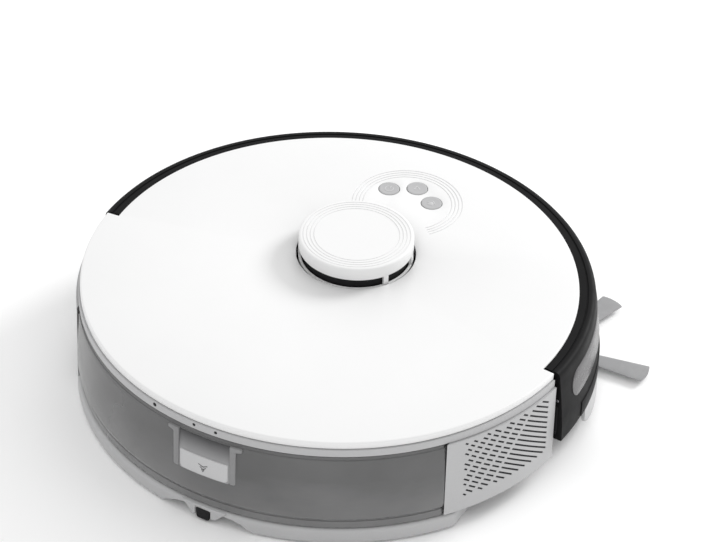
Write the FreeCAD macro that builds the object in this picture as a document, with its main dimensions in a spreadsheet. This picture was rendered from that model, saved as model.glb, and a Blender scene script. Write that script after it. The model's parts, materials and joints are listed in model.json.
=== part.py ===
import FreeCAD, Part
import math
import os
import re

import Sketcher

# Robot vacuum with a laser turret, a rear bin with a water tank, and a mop plate.
# Millimetres. +Y is the direction of travel, +X is the machine's right, +Z is up, and the
# origin is on the floor under the centre of the round body. Angles in the cells are
# half-angles: bumper_angle from straight ahead, panel_angle and bin_angle from straight back.
DIMENSIONS = [
    ("cover_radius", 168.6),
    ("cover_front_radius", 160.3),
    ("bumper_radius", 175.8),
    ("bumper_top_radius", 171.6),
    ("bumper_lip_radius", 157.0),
    ("bumper_wall", 2.5),
    ("bumper_top", 81.1),
    ("bumper_bottom", 27.0),
    ("bumper_shoulder", 42.0),
    ("bumper_angle", 94.0),
    ("bumper_end_depth", 9.0),
    ("skirt_radius", 176.3),
    ("skirt_bottom", 7.0),
    ("skirt_angle", 82.0),
    ("top_height", 82.7),
    ("cover_thickness", 1.2),
    ("cover_skirt", 5.0),
    ("rim_bottom", 72.2),
    ("seam", 0.3),
    ("wall", 2.0),
    ("deck_bottom", 74.0),
    ("pan_radius", 160.0),
    ("pan_rim_radius", 168.0),
    ("pan_bottom", 10.0),
    ("pan_thickness", 2.5),
    ("pan_rim_bottom", 6.5),
    ("pan_rim_angle", 80.0),
    ("panel_angle", 85.0),
    ("panel_bottom", 14.0),
    ("panel_wall", 2.5),
    ("vent_pitch", 4.2),
    ("vent_width", 1.3),
    ("vent_slope", 34.4),
    ("bin_angle", 54.0),
    ("bin_half_width", 136.9),
    ("bin_front", 62.0),
    ("bin_bottom", 12.8),
    ("bin_top", 71.6),
    ("bin_radius", 171.2),
    ("band_radius", 169.8),
    ("latch_half_width", 18.0),
    ("latch_low", 38.5),
    ("latch_split", 53.0),
    ("latch_high", 68.5),
    ("mop_front", 76.0),
    ("mop_half_width", 142.0),
    ("mop_top", 12.4),
    ("pad_thickness", 3.0),
    ("turret_x", -3.0),
    ("turret_y", 32.0),
    ("turret_radius", 38.4),
    ("turret_top", 97.6),
    ("turret_window_top", 88.3),
    ("turret_hole", 39.9),
    ("rotor_radius", 35.6),
    ("motor_pulley_x", -59.0),
    ("motor_pulley_radius", 6.0),
    ("rotor_pulley_radius", 30.0),
    ("ring_y", 97.7),
    ("ring_radius", 37.7),
    ("groove_pitch", 2.4),
    ("groove_width", 0.8),
    ("groove_depth", 0.5),
    ("button_radius", 7.0),
    ("button_gap", 0.35),
    ("wheel_x", 105.0),
    ("wheel_radius", 35.0),
    ("wheel_width", 24.0),
    ("rim_radius", 28.0),
    ("arm_pivot_y", -38.0),
    ("arm_pivot_z", 40.0),
    ("axle_radius", 3.0),
    ("running_gap", 0.05),
    ("brush_y", 18.0),
    ("brush_z", 21.5),
    ("brush_radius", 19.0),
    ("brush_core_radius", 9.0),
    ("brush_left", -66.0),
    ("brush_right", 78.0),
    ("mouth_half_width", 84.0),
    ("mouth_rear", -5.0),
    ("mouth_front", 46.0),
    ("duct_left", -10.0),
    ("duct_right", 18.0),
    ("side_brush_x", 113.0),
    ("side_brush_y", 98.0),
    ("side_arm_length", 70.5),
    ("side_arm_count", 5),
    ("side_arm_bottom", 3.2),
    ("caster_y", 125.0),
    ("caster_trail", 6.0),
    ("caster_radius", 12.0),
    ("caster_width", 16.0),
    ("battery_left", -81.0),
    ("battery_right", -15.0),
    ("battery_rear", -55.0),
    ("battery_front", -13.0),
    ("battery_height", 38.0),
    ("fan_x", 44.0),
    ("fan_y", -34.0),
    ("fan_radius", 24.0),
    ("fan_bottom", 18.0),
    ("fan_height", 26.0),
    ("impeller_blades", 9),
]
SIZE = dict(DIMENSIONS)

doc = FreeCAD.newDocument("robot_vacuum")
sheet = doc.addObject("Spreadsheet::Sheet", "dimensions")
for row, (alias, value) in enumerate(DIMENSIONS, start=1):
    sheet.set("A%d" % row, alias.replace("_", " "))
    sheet.set("B%d" % row, str(value))
    sheet.setAlias("B%d" % row, alias)
doc.recompute()

SUBPARTS = []


def formula(text):
    """A FreeCAD expression in which each dimension's name stands for its cell."""
    return re.sub(r"[a-z_]+", lambda word: cell_name(word.group(0)), str(text))


def cell_name(word):
    return "dimensions." + word if word in SIZE else word


def bind(target, name, text):
    target.setExpression(name, formula(text))


def place(solid, at, rotation=None):
    """Put a solid at a point given by three formulas, turned about that point."""
    solid.Placement = FreeCAD.Placement(FreeCAD.Vector(), rotation or FreeCAD.Rotation())
    for letter, text in zip("xyz", at):
        bind(solid, "Placement.Base." + letter, text)
    return solid


ALONG = {
    "X": FreeCAD.Rotation(FreeCAD.Vector(0, 1, 0), 90),
    "Y": FreeCAD.Rotation(FreeCAD.Vector(1, 0, 0), -90),
}


def turned(degrees):
    return FreeCAD.Rotation(FreeCAD.Vector(0, 0, 1), degrees)


def cylinder(radius, height, at=(0, 0, 0), axis="Z"):
    """A full cylinder that starts at a point and runs along an axis."""
    solid = doc.addObject("Part::Cylinder", "cylinder")
    bind(solid, "Radius", radius)
    bind(solid, "Height", height)
    return place(solid, at, ALONG.get(axis))


def sector(radius, height, at, start, sweep):
    """A slice of a cylinder about Z, from a polar angle and over a sweep in degrees."""
    solid = cylinder(radius, height, at)
    bind(solid, "Angle", sweep)
    return place(solid, at, turned(start))


def block(x, y, z, rotation=None):
    """A box between pairs of formulas along X, Y and Z."""
    solid = doc.addObject("Part::Box", "block")
    for name, (low, high) in zip(("Length", "Width", "Height"), (x, y, z)):
        bind(solid, name, "(%s) - (%s)" % (high, low))
    return place(solid, (x[0], y[0], z[0]), rotation)


def fuse(*solids):
    joined = doc.addObject("Part::MultiFuse", "joined")
    joined.Shapes = list(solids)
    joined.Refine = True
    return joined


def cut(base, *tools):
    result = doc.addObject("Part::Cut", "cut")
    result.Base = base
    result.Tool = tools[0] if len(tools) == 1 else fuse(*tools)
    return result


def common(one, other):
    result = doc.addObject("Part::Common", "common")
    result.Base = one
    result.Tool = other
    return result


def ring(outer, inner, height, at=(0, 0, 0), axis="Z"):
    return cut(cylinder(outer, height, at, axis), cylinder(inner, height, at, axis))


def ring_sector(outer, inner, height, at, start, sweep):
    return cut(sector(outer, height, at, start, sweep), cylinder(inner, height, at))


def group(*solids):
    """Separate solids of one kind, kept as one sub-part."""
    compound = doc.addObject("Part::Compound", "group")
    compound.Links = list(solids)
    return compound


def subpart(solid, label):
    solid.Label = label
    SUBPARTS.append(solid)
    return solid


def new_body(name, at=(0, 0, 0), axis=None):
    body = doc.addObject("PartDesign::Body", name)
    place(body, at, ALONG.get(axis))
    return body


def new_sketch(body):
    """A sketch on the body's own XY plane."""
    plane = [item for item in body.Origin.OriginFeatures if item.Role == "XY_Plane"][0]
    sketch = body.newObject("Sketcher::SketchObject", "sketch")
    sketch.AttachmentSupport = [(plane, "")]
    sketch.MapMode = "FlatFace"
    return sketch


def pin_point(sketch, index, corner, x, y):
    """Hold one point of a sketch at two formulas."""
    for kind, text in (("DistanceX", x), ("DistanceY", y)):
        number = sketch.addConstraint(Sketcher.Constraint(kind, -1, 1, index, corner, 1.0))
        bind(sketch, "Constraints[%d]" % number, text)


def draw_circle(sketch, radius, x=0, y=0):
    circle = Part.Circle(FreeCAD.Vector(1, 1, 0), FreeCAD.Vector(0, 0, 1), 5)
    index = sketch.addGeometry(circle, False)
    number = sketch.addConstraint(Sketcher.Constraint("Radius", index, 5.0))
    bind(sketch, "Constraints[%d]" % number, radius)
    pin_point(sketch, index, 3, x, y)


def draw_outline(sketch, points):
    """A closed outline of straight lines through points given by formulas."""
    count = len(points)
    rough = [FreeCAD.Vector(math.cos(turn), math.sin(turn), 0) * 10
             for turn in [2 * math.pi * step / count for step in range(count)]]
    first = None
    for step in range(count):
        line = Part.LineSegment(rough[step], rough[(step + 1) % count])
        index = sketch.addGeometry(line, False)
        first = index if first is None else first
    for step in range(count):
        following = first + (step + 1) % count
        sketch.addConstraint(Sketcher.Constraint("Coincident", first + step, 2, following, 1))
        pin_point(sketch, first + step, 1, *points[step])


def pad(body, sketch, length):
    feature = body.newObject("PartDesign::Pad", "pad")
    feature.Profile = sketch
    bind(feature, "Length", length)
    sketch.Visibility = False
    return feature


def pocket(body, sketch):
    feature = body.newObject("PartDesign::Pocket", "pocket")
    feature.Profile = sketch
    feature.Type = "ThroughAll"
    feature.Reversed = True
    return feature


def polar(body, feature, count):
    """Repeat a feature evenly about the body's own Z axis."""
    axis = [item for item in body.Origin.OriginFeatures if item.Role == "Z_Axis"][0]
    pattern = body.newObject("PartDesign::PolarPattern", "pattern")
    pattern.Originals = [feature]
    pattern.Axis = (axis, [""])
    pattern.Angle = 360
    bind(pattern, "Occurrences", count)
    body.Tip = pattern
    return pattern


# ---------------------------------------------------------------- chassis and casing

def chassis_pan():
    """Round floor tray, open at the back for the bin, with wells for what goes through it."""
    body = new_body("pan_plate", (0, 0, "pan_bottom"))
    outline = new_sketch(body)
    draw_circle(outline, "pan_radius")
    pad(body, outline, "pan_thickness")
    wells = new_sketch(body)
    for side in ("", "-"):
        draw_outline(wells, [(side + "(wheel_x + %s)" % x, y) for x, y in
                             (("18", "-47"), ("18", "41"), ("-18", "41"), ("-18", "-47"))])
    draw_outline(wells, [("-mouth_half_width", "mouth_rear"), ("mouth_half_width", "mouth_rear"),
                         ("mouth_half_width", "mouth_front"), ("-mouth_half_width", "mouth_front")])
    draw_outline(wells, [("battery_left - 1", "battery_rear - 1"), ("battery_right + 1", "battery_rear - 1"),
                         ("battery_right + 1", "battery_front + 1"),
                         ("battery_left - 1", "battery_front + 1")])
    draw_circle(wells, "21", 0, "caster_y")
    draw_circle(wells, "5", "side_brush_x", "side_brush_y")
    pocket(body, wells)
    height = "pan_bottom + pan_thickness - pan_rim_bottom"
    rim = ring_sector("pan_rim_radius", "pan_radius - 3", height, (0, 0, "pan_rim_bottom"),
                      90 - SIZE["pan_rim_angle"], "2 * pan_rim_angle")
    bay = block(("-pan_radius - 5", "pan_radius + 5"), ("-pan_radius - 5", "-mop_front + 2"),
                ("pan_bottom - 1", "pan_bottom + pan_thickness + 1"))
    subpart(cut(fuse(body, rim), bay), "chassis_pan")


def upper_housing():
    """Deck under the cover, the rim band at the back and the inner wall behind the bumper."""
    deck_top = "deck_bottom + wall"
    rear_start = 180 + SIZE["bumper_angle"] - 90 + 1
    rear_sweep = "360 - 2 * bumper_angle - 2"
    deck = cylinder("pan_radius", "wall", (0, 0, "deck_bottom"))
    band = ring_sector("band_radius", "pan_radius - 1", "top_height - cover_skirt - seam - rim_bottom",
                       (0, 0, "rim_bottom"), rear_start, rear_sweep)
    front_height = "bumper_top - 2 - (pan_bottom + pan_thickness)"
    front = ring_sector("pan_radius - seam", "pan_radius - wall - seam", front_height,
                        (0, 0, "pan_bottom + pan_thickness"), -2, "184")
    turret = cylinder("turret_hole", "3 * wall", ("turret_x", "turret_y", "deck_bottom - wall"))
    belt = block(("motor_pulley_x - 9", "turret_x"), ("turret_y - 9", "turret_y + 9"),
                 ("deck_bottom - 1", deck_top + " + 1"))
    subpart(cut(fuse(deck, band, front), turret, belt), "upper_housing")


def side_panels():
    """Curved exhaust panels with slanted slots between the bin and the bumper."""
    height = "rim_bottom - panel_bottom - seam"
    sweep = SIZE["panel_angle"] - SIZE["bin_angle"] + 2
    skin = ring_sector("bin_radius", "bin_radius - panel_wall", height, (0, 0, "panel_bottom"),
                       -90 + SIZE["bin_angle"] - 2, sweep)
    side_plane = block(("bin_half_width + 0.5", "bin_radius + 1"), ("-bin_radius", "0"),
                       ("panel_bottom", "rim_bottom"))
    right = subpart(cut(common(skin, side_plane), vent_slots()), "side_panel_right")
    left = doc.addObject("Part::Mirroring", "mirrored_panel")
    left.Source = right
    left.Normal = FreeCAD.Vector(1, 0, 0)
    subpart(left, "side_panel_left")


# The exhaust slots lie on the right panel's outer face, measured in millimetres along the arc from
# straight back and up from the floor. Rows slope down toward the front, and are broken along lines
# that rise toward the front, so the slots grow longer toward the bumper.
VENT_ROWS = range(-12, 12)
VENT_REAR, VENT_FRONT = 172.8, 245.6
VENT_TOP = 68.8
VENT_CEILING = 70.2
VENT_FLOOR = 25.0
VENT_BREAKS = (212.8, 200.8, 190.0, 180.2, 171.4, 163.6, 156.2)
BREAK_LEAN = 0.784
BREAK_HEIGHT = 51.0
BRIDGE = 2.0
SHORTEST_SLOT = 1.6


def vent_row_spans(row):
    """The stretches of one sloping row that are cut, as pairs of places along the arc."""
    fall = math.tan(math.radians(SIZE["vent_slope"]))
    start_height = VENT_TOP - row * SIZE["vent_pitch"]

    def height(along):
        return start_height - fall * (along - VENT_REAR)

    def crossing(line):
        offset = BREAK_LEAN * (start_height + fall * VENT_REAR - BREAK_HEIGHT)
        return (line + offset) / (1 + BREAK_LEAN * fall)

    low = max(VENT_REAR, VENT_REAR + (start_height - VENT_CEILING) / fall)
    high = VENT_FRONT
    while high > low and height(high) < VENT_FLOOR:
        high -= 0.5
    edges = sorted(crossing(line) for line in VENT_BREAKS if low < crossing(line) < high)
    starts = [low] + [edge + BRIDGE / 2 for edge in edges]
    ends = [edge - BRIDGE / 2 for edge in edges] + [high]
    return [(start, end, height) for start, end in zip(starts, ends) if end - start > SHORTEST_SLOT]


def vent_slots():
    """One sloping cutter for each slot, square to the panel at the slot's middle."""
    slots = []
    slope = math.radians(SIZE["vent_slope"])
    depth = 4 * SIZE["panel_wall"]
    for row in VENT_ROWS:
        for start, end, height in vent_row_spans(row):
            middle = (start + end) / 2
            turn = math.degrees(middle / SIZE["bin_radius"]) - 90
            length = (end - start) / math.cos(slope)
            slot = doc.addObject("Part::Box", "slot")
            slot.Length = depth
            slot.Width = length
            bind(slot, "Height", "vent_width")
            lean = turned(turn).multiply(FreeCAD.Rotation(FreeCAD.Vector(1, 0, 0), -SIZE["vent_slope"]))
            centre = turned(turn).multVec(FreeCAD.Vector(SIZE["bin_radius"], 0, 0))
            centre.z = height(middle)
            half = FreeCAD.Vector(depth / 2, length / 2, SIZE["vent_width"] / 2)
            slot.Placement = FreeCAD.Placement(centre - lean.multVec(half), lean)
            slots.append(slot)
    return group(*slots)


def top_cover():
    """White cover: a thin disc with a deeper skirt round the back."""
    disc = cylinder("cover_front_radius", "cover_thickness", (0, 0, "top_height - cover_thickness"))
    start = 180 + SIZE["bumper_angle"] - 90 + 1
    sweep = "360 - 2 * bumper_angle - 2"
    back = sector("cover_radius", "cover_thickness", (0, 0, "top_height - cover_thickness"), start, sweep)
    skirt = ring_sector("cover_radius", "cover_radius - wall", "cover_skirt",
                        (0, 0, "top_height - cover_skirt"), start, sweep)
    low = "top_height - cover_skirt - 1"
    tools = [cylinder("turret_hole", "cover_skirt + 2", ("turret_x", "turret_y", low))]
    for x, y in BUTTON_PLACES:
        tools.append(cylinder("button_radius + button_gap", "cover_skirt + 2", (x, y, low)))
    groove_low = "top_height - groove_depth"
    for step in range(4):
        radius = "ring_radius - %d * groove_pitch" % step
        tools.append(ring_sector(radius, radius + " - groove_width", "groove_depth + 1",
                                 (0, "ring_y", groove_low), -38, "256"))
    subpart(cut(fuse(disc, back, skirt), *tools), "top_cover")


BUTTON_PLACES = [("-18.2", "106"), ("-1.9", "116"), ("14.3", "106.3")]


def buttons():
    """Three round keys, each with a flange that keeps it under the cover."""
    for name, (x, y) in zip(("left", "middle", "right"), BUTTON_PLACES):
        stem = cylinder("button_radius", "4.3", (x, y, "top_height + 0.2 - 4.3"))
        flange = cylinder("button_radius + 1.2", "1.3", (x, y, "top_height - cover_thickness - 1.6"))
        subpart(fuse(stem, flange), "button_" + name)
    board = block(("-34", "34"), ("92", "128"), ("deck_bottom + wall", "deck_bottom + wall + 1.6"))
    subpart(board, "button_board")


def boards_and_power():
    """Main board, battery with its cover plate, and the small parts under the pan."""
    subpart(block(("-70", "70"), ("66", "128"), ("56", "57.6")), "main_board")
    subpart(block(("battery_left", "battery_right"), ("battery_rear", "battery_front"),
                  ("pan_bottom", "pan_bottom + battery_height")), "battery_pack")
    subpart(block(("battery_left - 4", "battery_right + 4"), ("battery_rear - 3", "battery_front + 3"),
                  ("pan_bottom - 1.2", "pan_bottom")), "battery_cover")
    windows = []
    contacts = []
    for degrees in (150, 112, 68, 22):
        window = doc.addObject("Part::Box", "window")
        window.Length = 8
        window.Width = 16
        window.Height = 0.8
        turn = math.radians(degrees)
        window.Placement = FreeCAD.Placement(
            FreeCAD.Vector(math.cos(turn) * 146, math.sin(turn) * 146, SIZE["pan_bottom"] - 0.8),
            turned(degrees))
        windows.append(window)
    subpart(group(*windows), "cliff_windows")
    for x in ("-46", "30"):
        contacts.append(block((x, x + " + 16"), ("128", "138"), ("pan_bottom - 1", "pan_bottom")))
    subpart(group(*contacts), "charge_contacts")
    screws = []
    for x, y in (("-135", "20"), ("135", "20"), ("-135", "-45"), ("135", "-45"), ("-60", "120"),
                 ("60", "135"), ("-70", "60"), ("60", "60"), ("0", "-66"), ("60", "-66")):
        screws.append(cylinder("3", "1", (x, y, "pan_bottom - 1")))
    subpart(group(*screws), "chassis_screws")


# ---------------------------------------------------------------- bumper

def bumper_block(grow, low, start, sweep):
    """Solid slice of the bumper's outer form: upright at the foot and leaning in above it."""
    foot = sector("bumper_radius + %s" % grow, "bumper_shoulder - %s" % low, (0, 0, low), start, sweep)
    crown = doc.addObject("Part::Cone", "crown")
    bind(crown, "Radius1", "bumper_radius + %s" % grow)
    bind(crown, "Radius2", "bumper_top_radius + %s" % grow)
    bind(crown, "Height", "bumper_top - bumper_shoulder")
    bind(crown, "Angle", sweep)
    place(crown, (0, 0, "bumper_shoulder"), turned(start))
    return fuse(foot, crown)


def bumper_window(start, sweep, low, height):
    """Thin pane laid on the bumper's leaning face."""
    skin = cut(bumper_block("0.5", "bumper_bottom", start, sweep),
               bumper_block("0", "bumper_bottom - 1", start - 1, "%s + 2" % sweep))
    return common(skin, cylinder("bumper_radius + 5", height, (0, 0, low)))


def bumper():
    """Sprung front bumper with closed ends, a soft strip, a grey skirt and two sensor windows."""
    start = 90 - SIZE["bumper_angle"]
    sweep = "2 * bumper_angle"
    end = 2.2
    inner_sweep = "2 * bumper_angle - %s" % (2 * end)
    base = (0, 0, "bumper_bottom - 1")
    foot_hollow = sector("bumper_radius - bumper_wall", "bumper_shoulder - bumper_bottom + 1", base,
                         start + end, inner_sweep)
    crown_hollow = doc.addObject("Part::Cone", "crown_hollow")
    bind(crown_hollow, "Radius1", "bumper_radius - bumper_wall")
    bind(crown_hollow, "Radius2", "bumper_top_radius - bumper_wall")
    bind(crown_hollow, "Height", "bumper_top - 1.8 - bumper_shoulder")
    bind(crown_hollow, "Angle", inner_sweep)
    place(crown_hollow, (0, 0, "bumper_shoulder"), turned(start + end))
    bore = cylinder("bumper_radius - bumper_end_depth", "bumper_top - 0.8 - bumper_bottom", base)
    opening = cylinder("bumper_lip_radius", "bumper_top", base)
    subpart(cut(bumper_block("0", "bumper_bottom", start, sweep), foot_hollow, crown_hollow, bore, opening),
            "bumper_shell")
    subpart(ring_sector("bumper_radius + 0.6", "bumper_radius", "11.5", (0, 0, "bumper_bottom + 0.5"),
                        5.5, "169"), "bumper_strip")
    subpart(ring_sector("skirt_radius", "skirt_radius - bumper_wall", "bumper_bottom - skirt_bottom",
                        (0, 0, "skirt_bottom"), 90 - SIZE["skirt_angle"], "2 * skirt_angle"), "bumper_skirt")
    wall_window = bumper_window(1, "39", "50", "20")
    front_window = bumper_window(76, "28", "52", "14")
    subpart(group(wall_window, front_window), "bumper_sensor_windows")


# ---------------------------------------------------------------- laser turret

def turret():
    """Fixed base and cap round a spinning sensor drum that a small motor drives by a belt."""
    centre = ("turret_x", "turret_y")
    base = cylinder("turret_hole - 0.8", "wall", (*centre, "64"))
    post = cylinder("5", "23", (*centre, "64 + wall"))
    bracket = block(("motor_pulley_x - 10", "-20"), ("turret_y - 10", "turret_y + 10"), ("64", "64 + wall"))
    motor_hole = cylinder("3", "6", ("motor_pulley_x", "turret_y", "62"))
    subpart(cut(fuse(base, post, bracket), motor_hole), "turret_base")

    top = ring("turret_radius", "rotor_radius + 1", "6", (*centre, "turret_window_top"))
    lid = cylinder("turret_radius", "turret_top - turret_window_top - 2", (*centre, "turret_window_top + 2"))
    foot = ring("turret_radius", "turret_radius - wall", "top_height - 1 - 66", (*centre, "66"))
    posts = []
    for degrees in (-30, 15, 90, 165, 210):
        post_ring = ring_sector("turret_radius", "turret_radius - wall",
                                "turret_window_top - top_height + 1",
                                (*centre, "top_height - 1"), degrees - 2.7, "5.4")
        posts.append(post_ring)
    grooves = []
    for step in range(4):
        radius = "turret_radius - 0.6 - %d * groove_pitch" % step
        grooves.append(ring(radius, radius + " - groove_width", "groove_depth + 1",
                            (*centre, "turret_top - groove_depth")))
    belt_gap = block(("turret_x - turret_radius - 2", "-20"),
                     ("turret_y - turret_radius", "turret_y + turret_radius"), ("68", "74"))
    subpart(cut(fuse(top, lid, foot, *posts), *grooves, belt_gap), "turret_cap")

    drum = cylinder("rotor_radius", "turret_window_top - 1.2 - 76", (*centre, "76"))
    neck = cylinder("20", "3", (*centre, "73"))
    bore = cylinder("5 + running_gap", "40", (*centre, "60"))
    subpart(cut(fuse(drum, neck), bore), "lidar_rotor")
    pulley = cylinder("rotor_pulley_radius", "4", (*centre, "69"))
    pulley_bore = cylinder("5 + running_gap", "40", (*centre, "60"))
    subpart(cut(pulley, pulley_bore), "lidar_pulley")
    motor = cylinder("8", "9", ("motor_pulley_x", "turret_y", "55"))
    subpart(motor, "lidar_motor")
    wheel = cylinder("motor_pulley_radius", "4", ("motor_pulley_x", "turret_y", "69"))
    shaft = cylinder("1.5", "4.5", ("motor_pulley_x", "turret_y", "64.5"))
    subpart(fuse(wheel, shaft), "lidar_motor_pulley")
    subpart(lidar_belt(), "lidar_belt")


def lidar_belt():
    """Flat belt round the two pulleys: two arcs joined by their outside tangents."""
    belt = doc.addObject("Part::Feature", "belt")
    gap = 0.3
    thickness = 0.9
    big = SIZE["rotor_pulley_radius"] + gap
    small = SIZE["motor_pulley_radius"] + gap
    inner = belt_outline(big, small)
    outer = belt_outline(big + thickness, small + thickness)
    belt.Shape = outer.cut(inner).extrude(FreeCAD.Vector(0, 0, 2))
    return place(belt, ("turret_x", "turret_y", "70"))


def belt_outline(big, small):
    """Face inside a belt that runs round a big circle at the origin and a small one at -X."""
    reach = SIZE["turret_x"] - SIZE["motor_pulley_x"]
    lean = math.acos((big - small) / reach)
    up = FreeCAD.Vector(-math.cos(lean), math.sin(lean), 0)
    down = FreeCAD.Vector(-math.cos(lean), -math.sin(lean), 0)
    far = FreeCAD.Vector(-reach, 0, 0)
    right = FreeCAD.Vector(1, 0, 0)
    edges = [Part.Arc(down * big, right * big, up * big).toShape(),
             Part.makeLine(up * big, far + up * small),
             Part.Arc(far + up * small, far - right * small, far + down * small).toShape(),
             Part.makeLine(far + down * small, down * big)]
    return Part.Face(Part.Wire(edges))


# ---------------------------------------------------------------- suction path

def suction():
    """Brush chamber with its duct, the guard round the mouth, the main brush and the fan."""
    chamber = block(("-mouth_half_width", "mouth_half_width"), ("mouth_rear", "mouth_front"),
                    ("pan_bottom", "44"))
    hollow = block(("-mouth_half_width + 1.5", "mouth_half_width - 1.5"),
                   ("mouth_rear + 1.5", "mouth_front - 1.5"), ("pan_bottom - 2", "42.5"))
    duct = block(("duct_left", "duct_right"), ("-bin_front + 0.8", "mouth_rear + 1"), ("20.5", "41.5"))
    passage = block(("duct_left + 1.5", "duct_right - 1.5"), ("-bin_front", "mouth_rear + 3"), ("22", "40"))
    subpart(cut(fuse(chamber, duct), hollow, passage), "brush_chamber")

    frame = block(("-mouth_half_width - 2", "mouth_half_width + 2"), ("mouth_rear - 2", "mouth_front + 2"),
                  ("pan_bottom - 2.2", "pan_bottom"))
    mouth = block(("-mouth_half_width + 6", "mouth_half_width - 6"),
                  ("mouth_rear + 1.5", "mouth_front - 1.5"), ("pan_bottom - 5", "pan_bottom + 5"))
    tines = []
    for x in (-60, -20, 20, 60):
        tines.append(block((x - 1.5, x + 1.5), ("brush_y + brush_radius + 1", "mouth_front"),
                           ("pan_bottom - 2.2", "pan_bottom")))
    subpart(fuse(cut(frame, mouth), *tines), "brush_guard")

    core = cylinder("brush_core_radius", "brush_right - brush_left",
                    ("brush_left", "brush_y", "brush_z"), "X")
    stub = cylinder("3", "brush_right - brush_left + 7",
                    ("brush_left - 4", "brush_y", "brush_z"), "X")
    subpart(fuse(core, stub), "main_brush_core")
    fins = new_body("fins", ("brush_left", "brush_y", "brush_z"), "X")
    outline = new_sketch(fins)
    draw_circle(outline, "brush_core_radius + 1")
    draw_circle(outline, "brush_core_radius")
    pad(fins, outline, "brush_right - brush_left")
    fin = new_sketch(fins)
    draw_outline(fin, [("brush_core_radius + 0.5", "-1.2"), ("brush_radius", "-0.8"),
                       ("brush_radius", "0.8"), ("brush_core_radius + 0.5", "1.2")])
    polar(fins, pad(fins, fin, "brush_right - brush_left"), 6)
    subpart(fins, "main_brush_fins")

    bearing = block(("brush_right + 0.4", "mouth_half_width - 1.5"), ("brush_y - 9", "brush_y + 9"),
                    ("brush_z - 9", "brush_z + 9"))
    bearing_hole = cylinder("3 + running_gap", "20", ("brush_right - 5", "brush_y", "brush_z"), "X")
    subpart(cut(bearing, bearing_hole), "brush_end_bearing")
    gearbox = block(("-mouth_half_width + 1.5", "brush_left - 0.4"), ("brush_y - 15", "brush_y + 15"),
                    ("pan_bottom + 1", "41"))
    gearbox_hole = cylinder("3 + running_gap", "5", ("brush_left - 4.5", "brush_y", "brush_z"), "X")
    subpart(cut(gearbox, gearbox_hole), "brush_gearbox")

    shell = cylinder("fan_radius", "fan_height", ("fan_x", "fan_y", "fan_bottom"))
    neck = block(("fan_x - 14", "fan_x + 14"), ("-bin_front + 0.8", "fan_y"),
                 ("fan_bottom + 4", "fan_bottom + 22"))
    room = cylinder("fan_radius - 1.5", "fan_height - 3", ("fan_x", "fan_y", "fan_bottom + 1.5"))
    inlet = block(("fan_x - 12.5", "fan_x + 12.5"), ("-bin_front", "fan_y"),
                  ("fan_bottom + 5.5", "fan_bottom + 20.5"))
    outlet = block(("fan_x - 10", "fan_x + 10"), ("fan_y", "fan_y + fan_radius + 1"),
                   ("fan_bottom + 6", "fan_bottom + 20"))
    spindle = cylinder("2", "fan_height - 3", ("fan_x", "fan_y", "fan_bottom + 1"))
    subpart(fuse(cut(fuse(shell, neck), room, inlet, outlet), spindle), "fan_housing")
    impeller = new_body("impeller", ("fan_x", "fan_y", "fan_bottom + 5"))
    disc = new_sketch(impeller)
    draw_circle(disc, "fan_radius - 4")
    draw_circle(disc, "2 + running_gap")
    pad(impeller, disc, "2")
    blade = new_sketch(impeller)
    draw_outline(blade, [("6", "-0.6"), ("fan_radius - 4.5", "5"), ("fan_radius - 4.8", "6.2"), ("6", "0.8")])
    polar(impeller, pad(impeller, blade, "13"), "impeller_blades")
    subpart(impeller, "fan_impeller")


# ---------------------------------------------------------------- wheels and side brush

def drive_wheel(side, label):
    """Wheel housing, sprung arm with its axle, rim and tyre on one side."""
    def across(inboard, outboard):
        if side > 0:
            return (inboard, outboard)
        return ("-(%s)" % outboard, "-(%s)" % inboard)

    outer = block(across("wheel_x - 19", "wheel_x + 19"), ("-50", "42.5"),
                  ("pan_bottom + pan_thickness", "73.5"))
    inner = block(across("wheel_x - 17.5", "wheel_x + 17.5"), ("-48.5", "41"), ("pan_bottom", "72"))
    start = across("wheel_x - 18.5", "wheel_x - 12.8")[0]
    pin = cylinder("axle_radius", "5.7", (start, "arm_pivot_y", "arm_pivot_z"), "X")
    subpart(fuse(cut(outer, inner), pin), "wheel_housing_" + label)

    web = block(across("wheel_x - 17", "wheel_x - 13"), ("arm_pivot_y - 5", "8"), ("27", "46"))
    web_start = across("wheel_x - 20", "wheel_x - 10")[0]
    pivot_hole = cylinder("axle_radius + running_gap", "10", (web_start, "arm_pivot_y", "arm_pivot_z"), "X")
    axle_start = across("wheel_x - 17", "wheel_x + 8")[0]
    axle = cylinder("axle_radius", "25", (axle_start, "0", "wheel_radius"), "X")
    subpart(fuse(cut(web, pivot_hole), axle), "wheel_arm_" + label)

    rim_start = across("wheel_x - wheel_width / 2", "wheel_x + wheel_width / 2")[0]
    centre = (rim_start, "0", "wheel_radius")
    solid_rim = cylinder("rim_radius", "wheel_width", centre, "X")
    bore_start = across("wheel_x - wheel_width / 2 - 1", "wheel_x + 8.4")[0]
    bore = cylinder("axle_radius + running_gap", "wheel_width / 2 + 9.4",
                    (bore_start, "0", "wheel_radius"), "X")
    dish_start = across("wheel_x + 9", "wheel_x + 13")[0]
    dish = cut(cylinder("rim_radius - 4", "4", (dish_start, "0", "wheel_radius"), "X"),
               cylinder("8", "4", (dish_start, "0", "wheel_radius"), "X"))
    subpart(cut(solid_rim, bore, dish), "wheel_rim_" + label)
    tread = ring("wheel_radius", "rim_radius", "wheel_width", centre, "X")
    subpart(tread, "wheel_tyre_" + label)


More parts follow.
